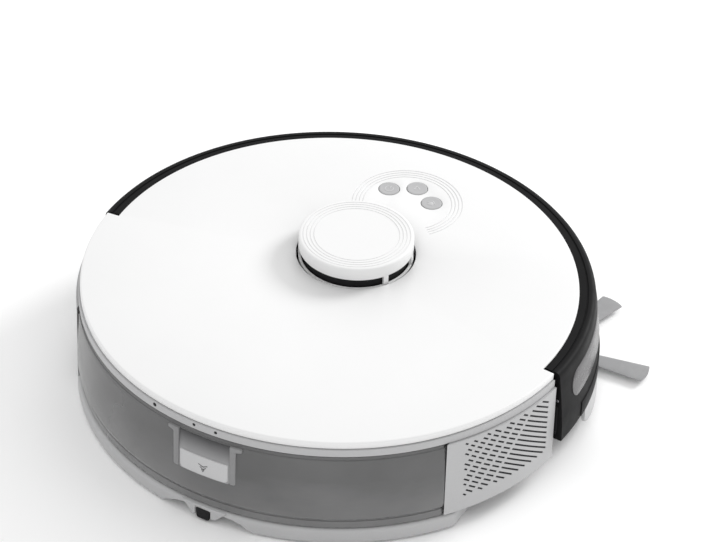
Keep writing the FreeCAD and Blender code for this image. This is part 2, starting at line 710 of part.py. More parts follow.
def side_brush():
    """Sweeping brush at the right front corner: a gear motor, a hub and flat flared arms."""
    centre = ("side_brush_x", "side_brush_y")
    motor = cylinder("7.8", "24", (*centre, "pan_bottom + pan_thickness"))
    socket = cylinder("3 + running_gap", "9", (*centre, "pan_bottom + pan_thickness - 1"))
    subpart(cut(motor, socket), "side_brush_motor")
    hub = cylinder("6.8", "4.3", (*centre, "side_arm_bottom + 2"))
    stem = cylinder("3", "pan_bottom + 10 - side_arm_bottom - 2", (*centre, "side_arm_bottom + 2"))
    subpart(fuse(hub, stem), "side_brush_hub")
    arms = new_body("arms", (*centre, "side_arm_bottom"))
    plate = new_sketch(arms)
    draw_circle(plate, "9")
    pad(arms, plate, "2")
    arm = new_sketch(arms)
    draw_outline(arm, [("6", "-3.5"), ("side_arm_length - 1", "-8.5"), ("side_arm_length - 1", "8.5"),
                       ("6", "3.5")])
    polar(arms, pad(arms, arm, "2"), "side_arm_count")
    arms.Placement.Rotation = turned(6)
    subpart(arms, "side_brush_arms")


def caster():
    """Swivelling front caster in its socket."""
    centre = (0, "caster_y")
    cup = ring("23", "21", "21.5", (*centre, "pan_bottom + pan_thickness"))
    cap = ring("23", "4 + running_gap", "6", (*centre, "32"))
    subpart(fuse(cup, cap), "caster_socket")
    block_body = cylinder("19", "22", (*centre, "8"))
    slot = block(("-caster_width / 2 - 1", "caster_width / 2 + 1"),
                 ("caster_y - 20", "caster_y + 20"), ("5", "26"))
    stem = cylinder("4", "8.5", (*centre, "29.5"))
    axle_y = "caster_y - caster_trail"
    axle_hole = cylinder("1.5", "40", ("-20", axle_y, "caster_radius"), "X")
    subpart(cut(fuse(cut(block_body, slot), stem), axle_hole), "caster_yoke")
    subpart(cylinder("1.5", "28", ("-14", axle_y, "caster_radius"), "X"), "caster_axle")
    wheel = ring("caster_radius", "1.5 + running_gap", "caster_width",
                 ("-caster_width / 2", axle_y, "caster_radius"), "X")
    subpart(wheel, "caster_wheel")


# ---------------------------------------------------------------- bin, tank and mop

def bin_outline(inset, low, high):
    """The bin's plan shape: a straight front and sides, and the body's own curve behind."""
    radius = "bin_radius - (%s)" % inset
    half = "bin_half_width - (%s)" % inset
    height = "(%s) - (%s)" % (high, low)
    depth = ("-bin_radius - 5", "-bin_front - (%s)" % inset)
    return common(cylinder(radius, height, (0, 0, low)), block(("-(%s)" % half, half), depth, (low, high)))


def bin_and_tank():
    """Clear tank shell with the dust box, filter, lid, plug and the release latch."""
    outer = bin_outline("0", "bin_bottom", "bin_top")
    inner = bin_outline("wall", "bin_bottom + wall", "bin_top + 1")
    inlet = block(("duct_left + 1.5", "duct_right - 1.5"), ("-bin_front - 5", "-bin_front + 5"), ("22", "40"))
    filter_hole = block(("fan_x - 12.5", "fan_x + 12.5"),
                        ("-bin_front - 5", "-bin_front + 5"), ("23.5", "38.5"))
    latch_seat = block(("-latch_half_width - 6", "latch_half_width + 6"), ("-bin_radius - 5", "-150"),
                       ("latch_low - 2.5", "latch_high + 0.5"))
    subpart(cut(outer, inner, inlet, filter_hole, latch_seat), "tank_shell")

    plate = bin_outline("wall + 0.2", "bin_top - wall", "bin_top")
    fill = cylinder("8", "10", ("-100", "-95", "bin_top - 5"))
    subpart(cut(plate, fill), "bin_lid")
    stopper = cylinder("7.9", "4.2", ("-100", "-95", "bin_top - 4"))
    lip = cylinder("8.8", "1.2", ("-100", "-95", "bin_top - wall - 1.2"))
    subpart(fuse(stopper, lip), "tank_plug")

    front = "-bin_front - wall"
    box = block(("-30", "70"), ("-130", front), ("bin_bottom + wall", "bin_top - wall"))
    hollow = block(("-28.5", "68.5"), ("-128.5", front + " - 1.5"), ("bin_bottom + wall + 1.5", "bin_top"))
    gate = block(("duct_left + 1.5", "duct_right - 1.5"), ("-bin_front - 8", "-bin_front + 5"), ("22", "40"))
    window = block(("fan_x - 12.5", "fan_x + 12.5"), ("-bin_front - 8", "-bin_front + 5"), ("23.5", "38.5"))
    subpart(cut(box, hollow, gate, window), "dust_box")
    rear = front + " - 1.5"
    frame = block(("fan_x - 18", "fan_x + 18"), (rear + " - 8", rear), ("18", "44"))
    core = block(("fan_x - 15", "fan_x + 15"), (rear + " - 9", rear + " + 1"), ("21", "41"))
    subpart(cut(frame, core), "filter_frame")
    pleats = []
    for step in range(10):
        x = "fan_x - 14.5 + %s" % (3 * step)
        pleats.append(block((x, x + " + 1.6"), (rear + " - 7", rear + " - 1"), ("21", "41")))
    backing = block(("fan_x - 15", "fan_x + 15"), (rear + " - 1", rear), ("21", "41"))
    subpart(fuse(backing, *pleats), "filter_pleats")

    seat = common(cylinder("bin_radius + 0.8", "latch_high - latch_low + 3", (0, 0, "latch_low - 2.5")),
                  block(("-latch_half_width - 6", "latch_half_width + 6"), ("-bin_radius - 5", "-150"),
                        ("latch_low - 2.5", "latch_high + 0.5")))
    recess = block(("-latch_half_width", "latch_half_width"), ("-bin_radius - 5", "-152"),
                   ("latch_low", "latch_high - 1"))
    subpart(cut(seat, recess), "latch_frame")
    half = "latch_half_width - 0.35"
    foot = "latch_low + 0.35"
    key = common(cylinder("bin_radius + 0.2", "latch_split - latch_low - 0.35", (0, 0, foot)),
                 block(("-(%s)" % half, half), ("-bin_radius - 5", "-163"), (foot, "latch_split")))
    subpart(key, "bin_latch")


def mop_outline(inset, low, high):
    """The mop's plan shape: a straight front, cut-off sides and a curved back."""
    radius = "bin_radius - %s" % inset
    half = "mop_half_width - %s" % inset
    height = "(%s) - (%s)" % (high, low)
    return common(cylinder(radius, height, (0, 0, low)),
                  block(("-(%s)" % half, half), ("-bin_radius - 5", "-mop_front - %s" % inset), (low, high)))


def mop():
    """Mop plate with a cloth pad under it and a spring tab that lets it go."""
    plate = mop_outline("0", "pad_thickness", "mop_top")
    tray = mop_outline("10", "pad_thickness + 2.5", "mop_top + 1")
    notch = block(("-28", "26"), ("-bin_radius - 5", "-162"), ("0", "mop_top + 1"))
    lug = common(cylinder("bin_radius - 1", "mop_top - pad_thickness", (0, 0, "pad_thickness")),
                 block(("-10", "9"), ("-bin_radius - 5", "-152"), ("pad_thickness", "mop_top")))
    tab_room = block(("-7", "6"), ("-bin_radius - 5", "-153"), ("0", "mop_top - 1"))
    subpart(cut(fuse(cut(plate, tray, notch), lug), tab_room), "mop_plate")
    cloth = mop_outline("7", "0", "pad_thickness")
    cloth_notch = block(("-32", "35"), ("-bin_radius - 5", "-148"), ("-1", "mop_top"))
    subpart(cut(cloth, cloth_notch), "mop_pad")
    subpart(block(("-5", "4"), ("-bin_radius + 0.5", "-156"), ("pad_thickness - 1", "mop_top - 2.5")),
            "mop_release")


chassis_pan()
upper_housing()
side_panels()
top_cover()
buttons()
boards_and_power()
bumper()
turret()
suction()
drive_wheel(-1, "left")
drive_wheel(1, "right")
side_brush()
caster()
bin_and_tank()
mop()
doc.recompute()

for item in doc.Objects:
    if "Invalid" in item.State or "Error" in item.State:
        raise RuntimeError("%s (%s) failed: %s" % (item.Name, item.Label, item.State))
for item in SUBPARTS:
    if item.Shape.isNull() or not item.Shape.isValid() or not item.Shape.Solids:
        raise RuntimeError("%s has no valid solid" % item.Label)

os.makedirs("parts", exist_ok=True)
for item in SUBPARTS:
    item.Shape.exportStep(os.path.join("parts", item.Label + ".step"))
    print("%-22s %2d solid(s) %10.0f mm3" % (item.Label, len(item.Shape.Solids), item.Shape.Volume))
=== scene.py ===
import json
import math

import bmesh
import bpy
from mathutils import Matrix, Vector


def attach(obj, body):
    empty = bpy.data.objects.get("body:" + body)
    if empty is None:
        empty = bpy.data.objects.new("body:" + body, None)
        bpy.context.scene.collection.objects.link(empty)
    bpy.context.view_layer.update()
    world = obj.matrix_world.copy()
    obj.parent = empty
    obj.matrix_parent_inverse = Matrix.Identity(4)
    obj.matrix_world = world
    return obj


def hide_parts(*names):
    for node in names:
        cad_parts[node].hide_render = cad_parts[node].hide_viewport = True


# Robot vacuum. Everything is built in millimetres and scaled to metres when a mesh is made.
# +Y is the direction of travel, +X the machine's right, +Z up, and the origin is on the floor.
MM = 0.001

TOP = 82.7
COVER_RADIUS = 168.6
COVER_FRONT_RADIUS = 160.3
COVER_SKIRT = 5.0
BUMPER_TOP = 81.1
BUMPER_LIP = 157.0
BUMPER_BOTTOM = 27.0
BUMPER_FACE = ((27.0, 175.8), (40.0, 175.6), (50.0, 174.8), (62.0, 173.5), (72.0, 172.3), (77.5, 171.7))
BUMPER_WALL = 2.5
BUMPER_END_DEPTH = 9.0
BUMPER_END_SWEEP = 2.2
SKIRT_RADIUS = 176.3
SKIRT_BOTTOM = 7.0
SKIRT_ANGLE = 82.0
SKIRT_BEND_ANGLE = 70.0
SKIRT_RISE = 13.0
STRIP_START, STRIP_END = 5.5, 174.5
BUMPER_ANGLE = 94.0
BIN_RADIUS = 171.2
BAND_RADIUS = 169.8
BIN_HALF_WIDTH = 136.9
BIN_FRONT = -62.0
BIN_BOTTOM = 12.8
BIN_TOP = 71.6
BIN_CORNER = 2.5
TANK_WALL = 2.0
LATCH_TILT_START, LATCH_TILT_RISE = 53.0, 15.0
RIM_HOLE_HEIGHT = 75.4
RIM_HOLES = ((-40.0, 1.4), (-8.0, 1.1), (7.8, 1.1))
DARK_LAYER_START, DARK_LAYER_END = 57.5, 84.0
DARK_LAYER_LOW, DARK_LAYER_HIGH = 18.5, 70.6
MOP_FRONT = -76.0
MOP_HALF_WIDTH = 142.0
MOP_TOP = 12.4
MOP_CORNER = 4.5
PAD_INSET = 8.2
PAD_EDGE = 7.0
TURRET = (-3.0, 32.0)
TURRET_RADIUS = 38.4
TURRET_TOP = 97.6
TURRET_WINDOW_TOP = 88.3
TURRET_HOLE = 39.9
RING_Y = 97.7
RING_RADIUS = 37.7
GROOVE_PITCH = 2.4
BUTTONS = {"left": (-18.2, 106.0), "middle": (-1.9, 116.0), "right": (14.3, 106.3)}
BUTTON_RADIUS = 7.0
BUTTON_GAP = 0.35
WHEEL_X = 105.0
WHEEL_RADIUS = 35.0
BRUSH_Y, BRUSH_Z = 18.0, 21.5
BRUSH_LEFT, BRUSH_RIGHT = -66.0, 78.0
SIDE_BRUSH = (113.0, 98.0)
SIDE_ARM_LENGTH = 70.5
SIDE_ARM_COUNT = 5
SIDE_ARM_TURN = 6.0

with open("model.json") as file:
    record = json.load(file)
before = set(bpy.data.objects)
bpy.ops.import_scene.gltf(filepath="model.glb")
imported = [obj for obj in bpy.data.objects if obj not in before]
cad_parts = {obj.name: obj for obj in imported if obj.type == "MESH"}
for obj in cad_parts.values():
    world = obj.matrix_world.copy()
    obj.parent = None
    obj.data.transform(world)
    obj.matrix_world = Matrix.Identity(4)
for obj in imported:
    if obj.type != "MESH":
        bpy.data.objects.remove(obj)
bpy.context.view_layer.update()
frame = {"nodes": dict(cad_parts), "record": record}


# ---------------------------------------------------------------- outlines

def polar(radius, degrees, centre=(0.0, 0.0)):
    """Point at a polar angle, counted from +X toward +Y."""
    turn = math.radians(degrees)
    return (centre[0] + radius * math.cos(turn), centre[1] + radius * math.sin(turn))


def steps(start, end, count):
    return [start + (end - start) * step / count for step in range(count + 1)]


def circle(radius, centre=(0.0, 0.0), count=72, clockwise=False):
    turns = steps(0, -360 if clockwise else 360, count)[:-1]
    return [polar(radius, turn, centre) for turn in turns]


def arc(radius, start, end, centre=(0.0, 0.0), pitch=2.0):
    count = max(2, int(abs(end - start) / pitch))
    return [polar(radius, turn, centre) for turn in steps(start, end, count)]


def rounded_outline(corners, pitch=15.0):
    """Counter-clockwise outline through (x, y, radius) corners, with each corner rounded."""
    points = []
    total = len(corners)
    for index, (x, y, radius) in enumerate(corners):
        here = Vector((x, y))
        back = (Vector(corners[index - 1][:2]) - here).normalized()
        ahead = (Vector(corners[(index + 1) % total][:2]) - here).normalized()
        opening = back.angle(ahead)
        if radius <= 0 or opening > math.radians(178):
            points.append((x, y))
            continue
        reach = radius / math.tan(opening / 2)
        middle = here + (back + ahead).normalized() * (radius / math.sin(opening / 2))
        first = here + back * reach - middle
        last = here + ahead * reach - middle
        sweep = first.angle_signed(last)
        count = max(2, int(abs(math.degrees(sweep)) / pitch))
        for turn in steps(0, -sweep, count):
            spun = Matrix.Rotation(turn, 2) @ first
            points.append(tuple(middle + spun))
    return points


def offset_outline(points, distance):
    """An outline moved toward its own left, which is inward for a counter-clockwise one."""
    moved = []
    total = len(points)
    for index, (x, y) in enumerate(points):
        before = Vector((x, y)) - Vector(points[index - 1])
        after = Vector(points[(index + 1) % total]) - Vector((x, y))
        first = Vector((-before.y, before.x)).normalized()
        second = Vector((-after.y, after.x)).normalized()
        shift = (first + second) * (distance / max(0.35, 1 + first.dot(second)))
        moved.append((x + shift.x, y + shift.y))
    return moved


def dense(points, pitch):
    """The outline with its long edges divided into pieces no longer than the pitch."""
    result = []
    for index, point in enumerate(points):
        following = points[(index + 1) % len(points)]
        length = math.dist(point, following)
        count = max(1, math.ceil(length / pitch))
        for step in range(count):
            share = step / count
            result.append((point[0] + (following[0] - point[0]) * share,
                           point[1] + (following[1] - point[1]) * share))
    return result


# ---------------------------------------------------------------- solids

def bridge(mesh, low, high):
    """Faces between two closed rings of vertices."""
    total = len(low)
    for index in range(total):
        following = (index + 1) % total
        mesh.faces.new((low[index], low[following], high[following], high[index]))


def fill(mesh, rings, up):
    """Flat face between closed rings of vertices; up is 1 or -1."""
    edges = []
    for ring in rings:
        for index, vertex in enumerate(ring):
            other = ring[(index + 1) % len(ring)]
            edges.append(mesh.edges.get((vertex, other)) or mesh.edges.new((vertex, other)))
    bmesh.ops.triangle_fill(mesh, use_beauty=True, use_dissolve=False, edges=edges, normal=(0, 0, up))


def add_slab(mesh, outer, section, holes=(), hole_section=(), pockets=(), pocket_section=()):
    """Upright solid. Each section lists (inset, z) levels from the bottom to the top.

    The outer outline is counter-clockwise; holes go right through and pockets stop at a floor,
    and both are clockwise.
    """
    tops, bottoms = [], []
    loops = [(outer, section, "outer")]
    loops += [(hole, hole_section, "hole") for hole in holes]
    loops += [(pocket, pocket_section, "pocket") for pocket in pockets]
    for outline, levels, kind in loops:
        rings = []
        for inset, z in levels:
            moved = offset_outline(outline, inset)
            rings.append([mesh.verts.new((x, y, z)) for x, y in moved])
        for low, high in zip(rings, rings[1:]):
            bridge(mesh, low, high)
        tops.append(rings[-1])
        if kind == "pocket":
            fill(mesh, [rings[0]], 1)
        else:
            bottoms.append(rings[0])
    fill(mesh, tops, 1)
    fill(mesh, bottoms, -1)


def slab(outer, section, **extras):
    mesh = bmesh.new()
    add_slab(mesh, outer, section, **extras)
    return mesh


def add_loft(mesh, rows):
    """Solid through closed rows of points, with a face over the first row and over the last."""
    rings = [[mesh.verts.new(point) for point in row] for row in rows]
    for low, high in zip(rings, rings[1:]):
        bridge(mesh, low, high)
    mesh.faces.new(rings[0])
    mesh.faces.new(rings[-1])


def add_sweep(mesh, angles, section, centre=(0.0, 0.0)):
    """Solid about an upright axis with one closed (radius, z) section at each polar angle."""
    add_loft(mesh, [[(*polar(radius, angle, centre), z) for radius, z in section(angle)]
                    for angle in angles])


def sweep(angles, section, centre=(0.0, 0.0)):
    mesh = bmesh.new()
    add_sweep(mesh, angles, section, centre)
    return mesh


def add_lathe(mesh, section, centre=(0.0, 0.0), count=96):
    """Full turn about an upright axis. A section that starts and ends on the axis closes there."""
    rows = []
    on_axis = [radius < 1e-6 for radius, _ in section]
    poles = {}
    for index, flat in enumerate(on_axis):
        if flat:
            poles[index] = mesh.verts.new((*centre, section[index][1]))
    for step in range(count):
        angle = 360 * step / count
        row = []
        for index, (radius, z) in enumerate(section):
            if on_axis[index]:
                row.append(poles[index])
            else:
                row.append(mesh.verts.new((*polar(radius, angle, centre), z)))
        rows.append(row)
    closed = not any(on_axis)
    total = len(section)
    for step in range(count):
        low, high = rows[step], rows[(step + 1) % count]
        for index in range(total if closed else total - 1):
            following = (index + 1) % total
            corners = [low[index], low[following], high[following], high[index]]
            unique = list(dict.fromkeys(corners))
            if len(unique) > 2:
                mesh.faces.new(unique)


def lathe(section, centre=(0.0, 0.0), count=96):
    mesh = bmesh.new()
    add_lathe(mesh, section, centre, count)
    return mesh


def rounded_section(corners):
    """Closed (radius, z) section with rounded corners, given as (radius, z, rounding)."""
    return rounded_outline(corners, 18.0)


def reshape(mesh, function):
    for vertex in mesh.verts:
        vertex.co = Vector(function(*vertex.co))
    return mesh


def wrap(radius):
    """Bends a flat solid round the machine's back: x runs along the arc and z stands off the arc."""
    def bend(x, y, z):
        turn = x / radius
        reach = radius + z
        return (reach * math.sin(turn), -reach * math.cos(turn), y)
    return bend


# ---------------------------------------------------------------- materials

class Nodes:
    """Small builder for one node material."""

    def __init__(self, name):
        self.material = bpy.data.materials.new(name)
        self.material.use_nodes = True
        self.tree = self.material.node_tree
        self.shader = self.tree.nodes["Principled BSDF"]
        self.output = self.tree.nodes["Material Output"]
        self.place = self.add("ShaderNodeTexCoord").outputs["Object"]

    def add(self, kind, **settings):
        node = self.tree.nodes.new(kind)
        for key, value in settings.items():
            setattr(node, key, value)
        return node

    def link(self, source, target):
        self.tree.links.new(source, target)

    def set(self, **values):
        for key, value in values.items():
            socket = self.shader.inputs[key.replace("_", " ")]
            socket.default_value = (*value, 1.0) if isinstance(value, tuple) else value

    def noise(self, scale, detail=4.0, roughness=0.6, stretch=None):
        node = self.add("ShaderNodeTexNoise")
        node.inputs["Scale"].default_value = scale
        node.inputs["Detail"].default_value = detail
        node.inputs["Roughness"].default_value = roughness
        self.link(self.stretched(stretch), node.inputs["Vector"])
        return node.outputs["Fac"]

    def stretched(self, stretch):
        if stretch is None:
            return self.place
        mapping = self.add("ShaderNodeMapping")
        mapping.inputs["Scale"].default_value = stretch
        self.link(self.place, mapping.inputs["Vector"])
        return mapping.outputs["Vector"]

    def cells(self, scale):
        node = self.add("ShaderNodeTexVoronoi")
        node.inputs["Scale"].default_value = scale
        self.link(self.place, node.inputs["Vector"])
        return node.outputs["Distance"]

    def waves(self, scale, distortion=0.0):
        node = self.add("ShaderNodeTexWave")
        node.inputs["Scale"].default_value = scale
        node.inputs["Distortion"].default_value = distortion
        self.link(self.place, node.inputs["Vector"])
        return node.outputs["Fac"]

    def height(self):
        """Height of the point that is shaded, in metres."""
        split = self.add("ShaderNodeSeparateXYZ")
        self.link(self.place, split.inputs[0])
        return split.outputs["Z"]

    def ramp(self, source, *stops):
        """Colour or grey ramp through (place, value) stops."""
        node = self.add("ShaderNodeValToRGB")
        line = node.color_ramp
        while len(line.elements) < len(stops):
            line.elements.new(0.5)
        for element, (where, value) in zip(line.elements, stops):
            element.position = where
            element.color = (*value, 1.0) if isinstance(value, tuple) else (value, value, value, 1.0)
        self.link(source, node.inputs["Fac"])
        return node.outputs["Color"]

    def mixed(self, share, first, second, blend="MIX"):
        node = self.add("ShaderNodeMix", data_type="RGBA", blend_type=blend)
        for socket, value in ((node.inputs[0], share), (node.inputs[6], first), (node.inputs[7], second)):
            if isinstance(value, (int, float)):
                socket.default_value = value
            elif isinstance(value, tuple):
                socket.default_value = (*value, 1.0)
            else:
                self.link(value, socket)
        return node.outputs[2]

    def calculate(self, operation, first, second):
        node = self.add("ShaderNodeMath", operation=operation)
        for socket, value in zip(node.inputs, (first, second)):
            if isinstance(value, (int, float)):
                socket.default_value = value
            else:
                self.link(value, socket)
        return node.outputs[0]

    def colour(self, source):
        self.link(source, self.shader.inputs["Base Color"])

    def roughness(self, source):
        self.link(source, self.shader.inputs["Roughness"])

    def bump(self, height, strength, distance_mm):
        node = self.add("ShaderNodeBump")
        node.inputs["Strength"].default_value = strength
        node.inputs["Distance"].default_value = distance_mm * MM
        self.link(height, node.inputs["Height"])
        previous = self.shader.inputs["Normal"].links
        if previous:
            self.link(previous[0].from_socket, node.inputs["Normal"])
        self.link(node.outputs["Normal"], self.shader.inputs["Normal"])


def shade(colour, factor):
    return tuple(min(1.0, channel * factor) for channel in colour)


def moulded_plastic(name, colour, roughness, grain=2600, grain_strength=0.25, variation=0.04, **extra):
    """Moulded plastic: fine spark-erosion grain, faint flow marks and uneven gloss."""
    nodes = Nodes(name)
    flow = nodes.noise(9, 3)
    cloud = nodes.ramp(flow, (0.3, shade(colour, 1 - variation)), (0.7, shade(colour, 1 + variation)))
    specks = nodes.ramp(nodes.noise(1500, 2), (0.35, 1 - variation), (0.6, 1.0))
    nodes.colour(nodes.mixed(1.0, cloud, specks, "MULTIPLY"))
    gloss = nodes.noise(60, 5)
    nodes.roughness(nodes.ramp(gloss, (0.25, roughness * 0.86), (0.75, min(1, roughness * 1.14))))
    nodes.bump(nodes.noise(grain, 2), grain_strength, 0.03)
    nodes.set(**extra)
    return nodes.material


def metal(name, colour, roughness, stretch):
    """Drawn or turned metal with fine lines along one direction."""
    nodes = Nodes(name)
    lines = nodes.noise(900, 3, stretch=stretch)
    nodes.colour(nodes.ramp(lines, (0.3, shade(colour, 0.82)), (0.7, colour)))
    nodes.roughness(nodes.ramp(nodes.noise(140, 4), (0.3, roughness * 0.8), (0.7, roughness * 1.3)))
    nodes.bump(lines, 0.2, 0.02)
    nodes.set(Metallic=1.0)
    return nodes.material


def rubber(name, colour, roughness, grain=1400, dusting=1.7):
    """Moulded rubber: matt, dusty in its hollows, with a pebbled skin."""
    nodes = Nodes(name)
    dust = nodes.ramp(nodes.noise(120, 6), (0.45, colour), (0.8, shade(colour, dusting)))
    nodes.colour(dust)
    nodes.roughness(nodes.ramp(nodes.noise(300, 3), (0.3, roughness * 0.9), (0.7, min(1.0, roughness * 1.1))))
    nodes.bump(nodes.cells(grain), 0.35, 0.05)
    return nodes.material


def smoked_plastic(name):
    """Tinted see-through tank wall: part of the light goes straight through. Its colour is painted light and
    shade, paler near the floor and darker toward the top.
    """
    nodes = Nodes(name)
    haze = nodes.noise(14, 4, stretch=(1.0, 1.0, 2.2))
    # Painted light and shade: the colour is set by height, paler near the floor and darker toward the top.
    height = nodes.calculate("MULTIPLY", nodes.height(), 14.0)
    painted_shading = nodes.calculate("ADD", height, nodes.calculate("MULTIPLY", haze, 0.5))
    nodes.colour(nodes.ramp(painted_shading, (0.40, (0.225, 0.225, 0.226)), (1.0, (0.125, 0.125, 0.126))))
    nodes.roughness(nodes.ramp(nodes.noise(45, 4), (0.3, 0.16), (0.7, 0.26)))
    nodes.bump(nodes.noise(55, 3), 0.25, 0.15)
    nodes.set(Coat_Weight=0.5, Coat_Roughness=0.08, IOR=1.49)
    clear = nodes.add("ShaderNodeBsdfTransparent")
    clear.inputs["Color"].default_value = (0.63, 0.63, 0.635, 1.0)
    blend = nodes.add("ShaderNodeMixShader")
    thickness = nodes.ramp(nodes.noise(20, 2), (0.3, 0.20), (0.7, 0.30))
    nodes.link(thickness, blend.inputs[0])
    nodes.link(nodes.shader.outputs["BSDF"], blend.inputs[1])
    nodes.link(clear.outputs["BSDF"], blend.inputs[2])
    nodes.link(blend.outputs["Shader"], nodes.output.inputs["Surface"])
    return nodes.material


def painted_shade_hollow(name, low, high):
    """Smoked plastic with painted shade that darkens it upward between two heights in metres, in place of the
    depth of a real finger hollow.
    """
    nodes = Nodes(name)
    rise = nodes.add("ShaderNodeMapRange")
    rise.inputs["From Min"].default_value = low
    rise.inputs["From Max"].default_value = high
    nodes.link(nodes.height(), rise.inputs["Value"])
    haze = nodes.calculate("MULTIPLY", nodes.noise(70, 3), 0.12)
    # Painted shade: the colour darkens from the plate up to the top of the hollow.
    painted_shading = nodes.calculate("ADD", haze, rise.outputs["Result"])
    nodes.colour(nodes.ramp(painted_shading, (0.0, (0.30, 0.30, 0.305)), (1.0, (0.045, 0.045, 0.047))))
    nodes.roughness(nodes.ramp(nodes.noise(45, 4), (0.3, 0.34), (0.7, 0.46)))
    nodes.bump(nodes.noise(900, 2), 0.15, 0.03)
    return nodes.material


def dark_window(name):
    """Infrared window: dark grey satin plastic with faint clouding."""
    nodes = Nodes(name)
    cloud = nodes.noise(30, 2)
    nodes.colour(nodes.ramp(cloud, (0.3, (0.082, 0.080, 0.082)), (0.7, (0.102, 0.099, 0.102))))
    nodes.roughness(nodes.ramp(nodes.noise(90, 5), (0.3, 0.22), (0.8, 0.34)))
    nodes.bump(nodes.noise(35, 2), 0.1, 0.05)
    nodes.set(Specular_IOR_Level=0.28)
    return nodes.material


def circuit_board(name):
    """Green solder mask over copper tracks, with bright pads."""
    nodes = Nodes(name)
    brick = nodes.add("ShaderNodeTexBrick")
    brick.inputs["Scale"].default_value = 160
    brick.inputs["Mortar Size"].default_value = 0.06
    brick.inputs["Color1"].default_value = (0.008, 0.085, 0.030, 1.0)
    brick.inputs["Color2"].default_value = (0.012, 0.120, 0.045, 1.0)
    brick.inputs["Mortar"].default_value = (0.050, 0.220, 0.090, 1.0)
    nodes.link(nodes.place, brick.inputs["Vector"])
    pads = nodes.ramp(nodes.cells(220), (0.12, 1.0), (0.16, 0.0))
    nodes.colour(nodes.mixed(pads, brick.outputs["Color"], (0.72, 0.60, 0.32)))
    nodes.roughness(nodes.ramp(nodes.noise(200, 3), (0.3, 0.28), (0.7, 0.42)))
    nodes.bump(brick.outputs["Fac"], 0.3, 0.05)
    return nodes.material


def battery_wrap(name):
    """Shrink-wrapped cells under a blue sleeve with a few creases."""
    nodes = Nodes(name)
    cells = nodes.waves(8.8)
    nodes.colour(nodes.ramp(nodes.noise(40, 4), (0.3, (0.010, 0.045, 0.150)), (0.7, (0.020, 0.075, 0.220))))
    nodes.roughness(nodes.ramp(nodes.noise(80, 4), (0.3, 0.22), (0.7, 0.40)))
    nodes.bump(cells, 0.6, 1.0)
    nodes.bump(nodes.noise(160, 3, stretch=(1, 5, 1)), 0.25, 0.1)
    return nodes.material


def pleated_paper(name):
    """Filter paper: off-white fibres with grey dust caught in the folds."""
    nodes = Nodes(name)
    fibres = nodes.noise(1100, 6, 0.8)
    folds = nodes.ramp(nodes.noise(70, 3), (0.35, (0.52, 0.50, 0.46)), (0.7, (0.78, 0.77, 0.73)))
    nodes.colour(nodes.mixed(0.5, folds, nodes.ramp(fibres, (0.3, 0.6), (0.7, 1.0)), "MULTIPLY"))
    nodes.bump(fibres, 0.6, 0.08)
    nodes.set(Roughness=0.95)
    return nodes.material


def microfibre(name):
    """Mop cloth: looped pile in staggered rows, slightly stained, with a soft sheen."""
    nodes = Nodes(name)
    loops = nodes.cells(620)
    rows = nodes.waves(95, 1.5)
    stain = nodes.ramp(nodes.noise(16, 5), (0.35, (0.20, 0.22, 0.25)), (0.75, (0.34, 0.36, 0.39)))
    # The loop pattern also darkens the colour away from each loop's centre: painted shade in the gaps between
    # loops.
    nodes.colour(nodes.mixed(0.55, stain, nodes.ramp(loops, (0.0, 1.0), (0.6, 0.45)), "MULTIPLY"))
    nodes.bump(loops, 0.8, 0.6)
    nodes.bump(rows, 0.5, 0.4)
    nodes.bump(nodes.noise(2600, 3), 0.4, 0.1)
    nodes.set(Roughness=0.95, Sheen_Weight=0.5, Sheen_Roughness=0.4)
    return nodes.material


MATERIALS = {
    "white_gloss": moulded_plastic("white_gloss", (0.76, 0.76, 0.76), 0.36, variation=0.012,
                                   grain_strength=0.12, Coat_Weight=0.15, Coat_Roughness=0.25),
    "light_grey": moulded_plastic("light_grey", (0.43, 0.43, 0.434), 0.48),
    "mid_grey": moulded_plastic("mid_grey", (0.50, 0.50, 0.505), 0.50),
    "bumper_black": moulded_plastic("bumper_black", (0.006, 0.006, 0.0064), 0.55, variation=0.15,
                                    grain_strength=0.3, Specular_IOR_Level=0.10),
    "strip_grey": moulded_plastic("strip_grey", (0.009, 0.009, 0.0095), 0.6, variation=0.08,
                                  Specular_IOR_Level=0.12),
    "sensor_window": dark_window("sensor_window"),
    "smoke_tank": smoked_plastic("smoke_tank"),
    # Painted shade for the finger hollow, darker toward its top.
    "latch_hollow_painted_shade": painted_shade_hollow("latch_hollow_painted_shade", 0.053, 0.0685),
    "latch_rib": moulded_plastic("latch_rib", (0.23, 0.23, 0.233), 0.42, variation=0.1),
    "inner_black": moulded_plastic("inner_black", (0.012, 0.012, 0.013), 0.6, variation=0.12,
                                   Specular_IOR_Level=0.2),
    "button_grey": moulded_plastic("button_grey", (0.40, 0.40, 0.405), 0.30, variation=0.02,
                                   Coat_Weight=0.4, Coat_Roughness=0.12),
    "circuit_board": circuit_board("circuit_board"),
    "battery_wrap": battery_wrap("battery_wrap"),
    "motor_steel": metal("motor_steel", (0.55, 0.56, 0.58), 0.35, (1, 1, 0.05)),
    "contact_metal": metal("contact_metal", (0.86, 0.74, 0.48), 0.25, (0.05, 1, 1)),
    "screw_steel": metal("screw_steel", (0.42, 0.42, 0.44), 0.32, (1, 1, 0.1)),
    "axle_steel": metal("axle_steel", (0.62, 0.62, 0.64), 0.25, (0.05, 1, 1)),
    "tyre_rubber": rubber("tyre_rubber", (0.030, 0.030, 0.031), 0.85),
    "brush_rubber": rubber("brush_rubber", (0.035, 0.037, 0.042), 0.7),
    "arm_rubber": rubber("arm_rubber", (0.31, 0.31, 0.315), 0.65, 2200, 1.12),
    "belt_rubber": rubber("belt_rubber", (0.02, 0.02, 0.02), 0.8),
    "filter_paper": pleated_paper("filter_paper"),
    "mop_cloth": microfibre("mop_cloth"),
}


# ---------------------------------------------------------------- pieces and nodes

def smooth(data, degrees):
    data.shade_smooth()
    data.set_sharp_from_angle(angle=math.radians(degrees))


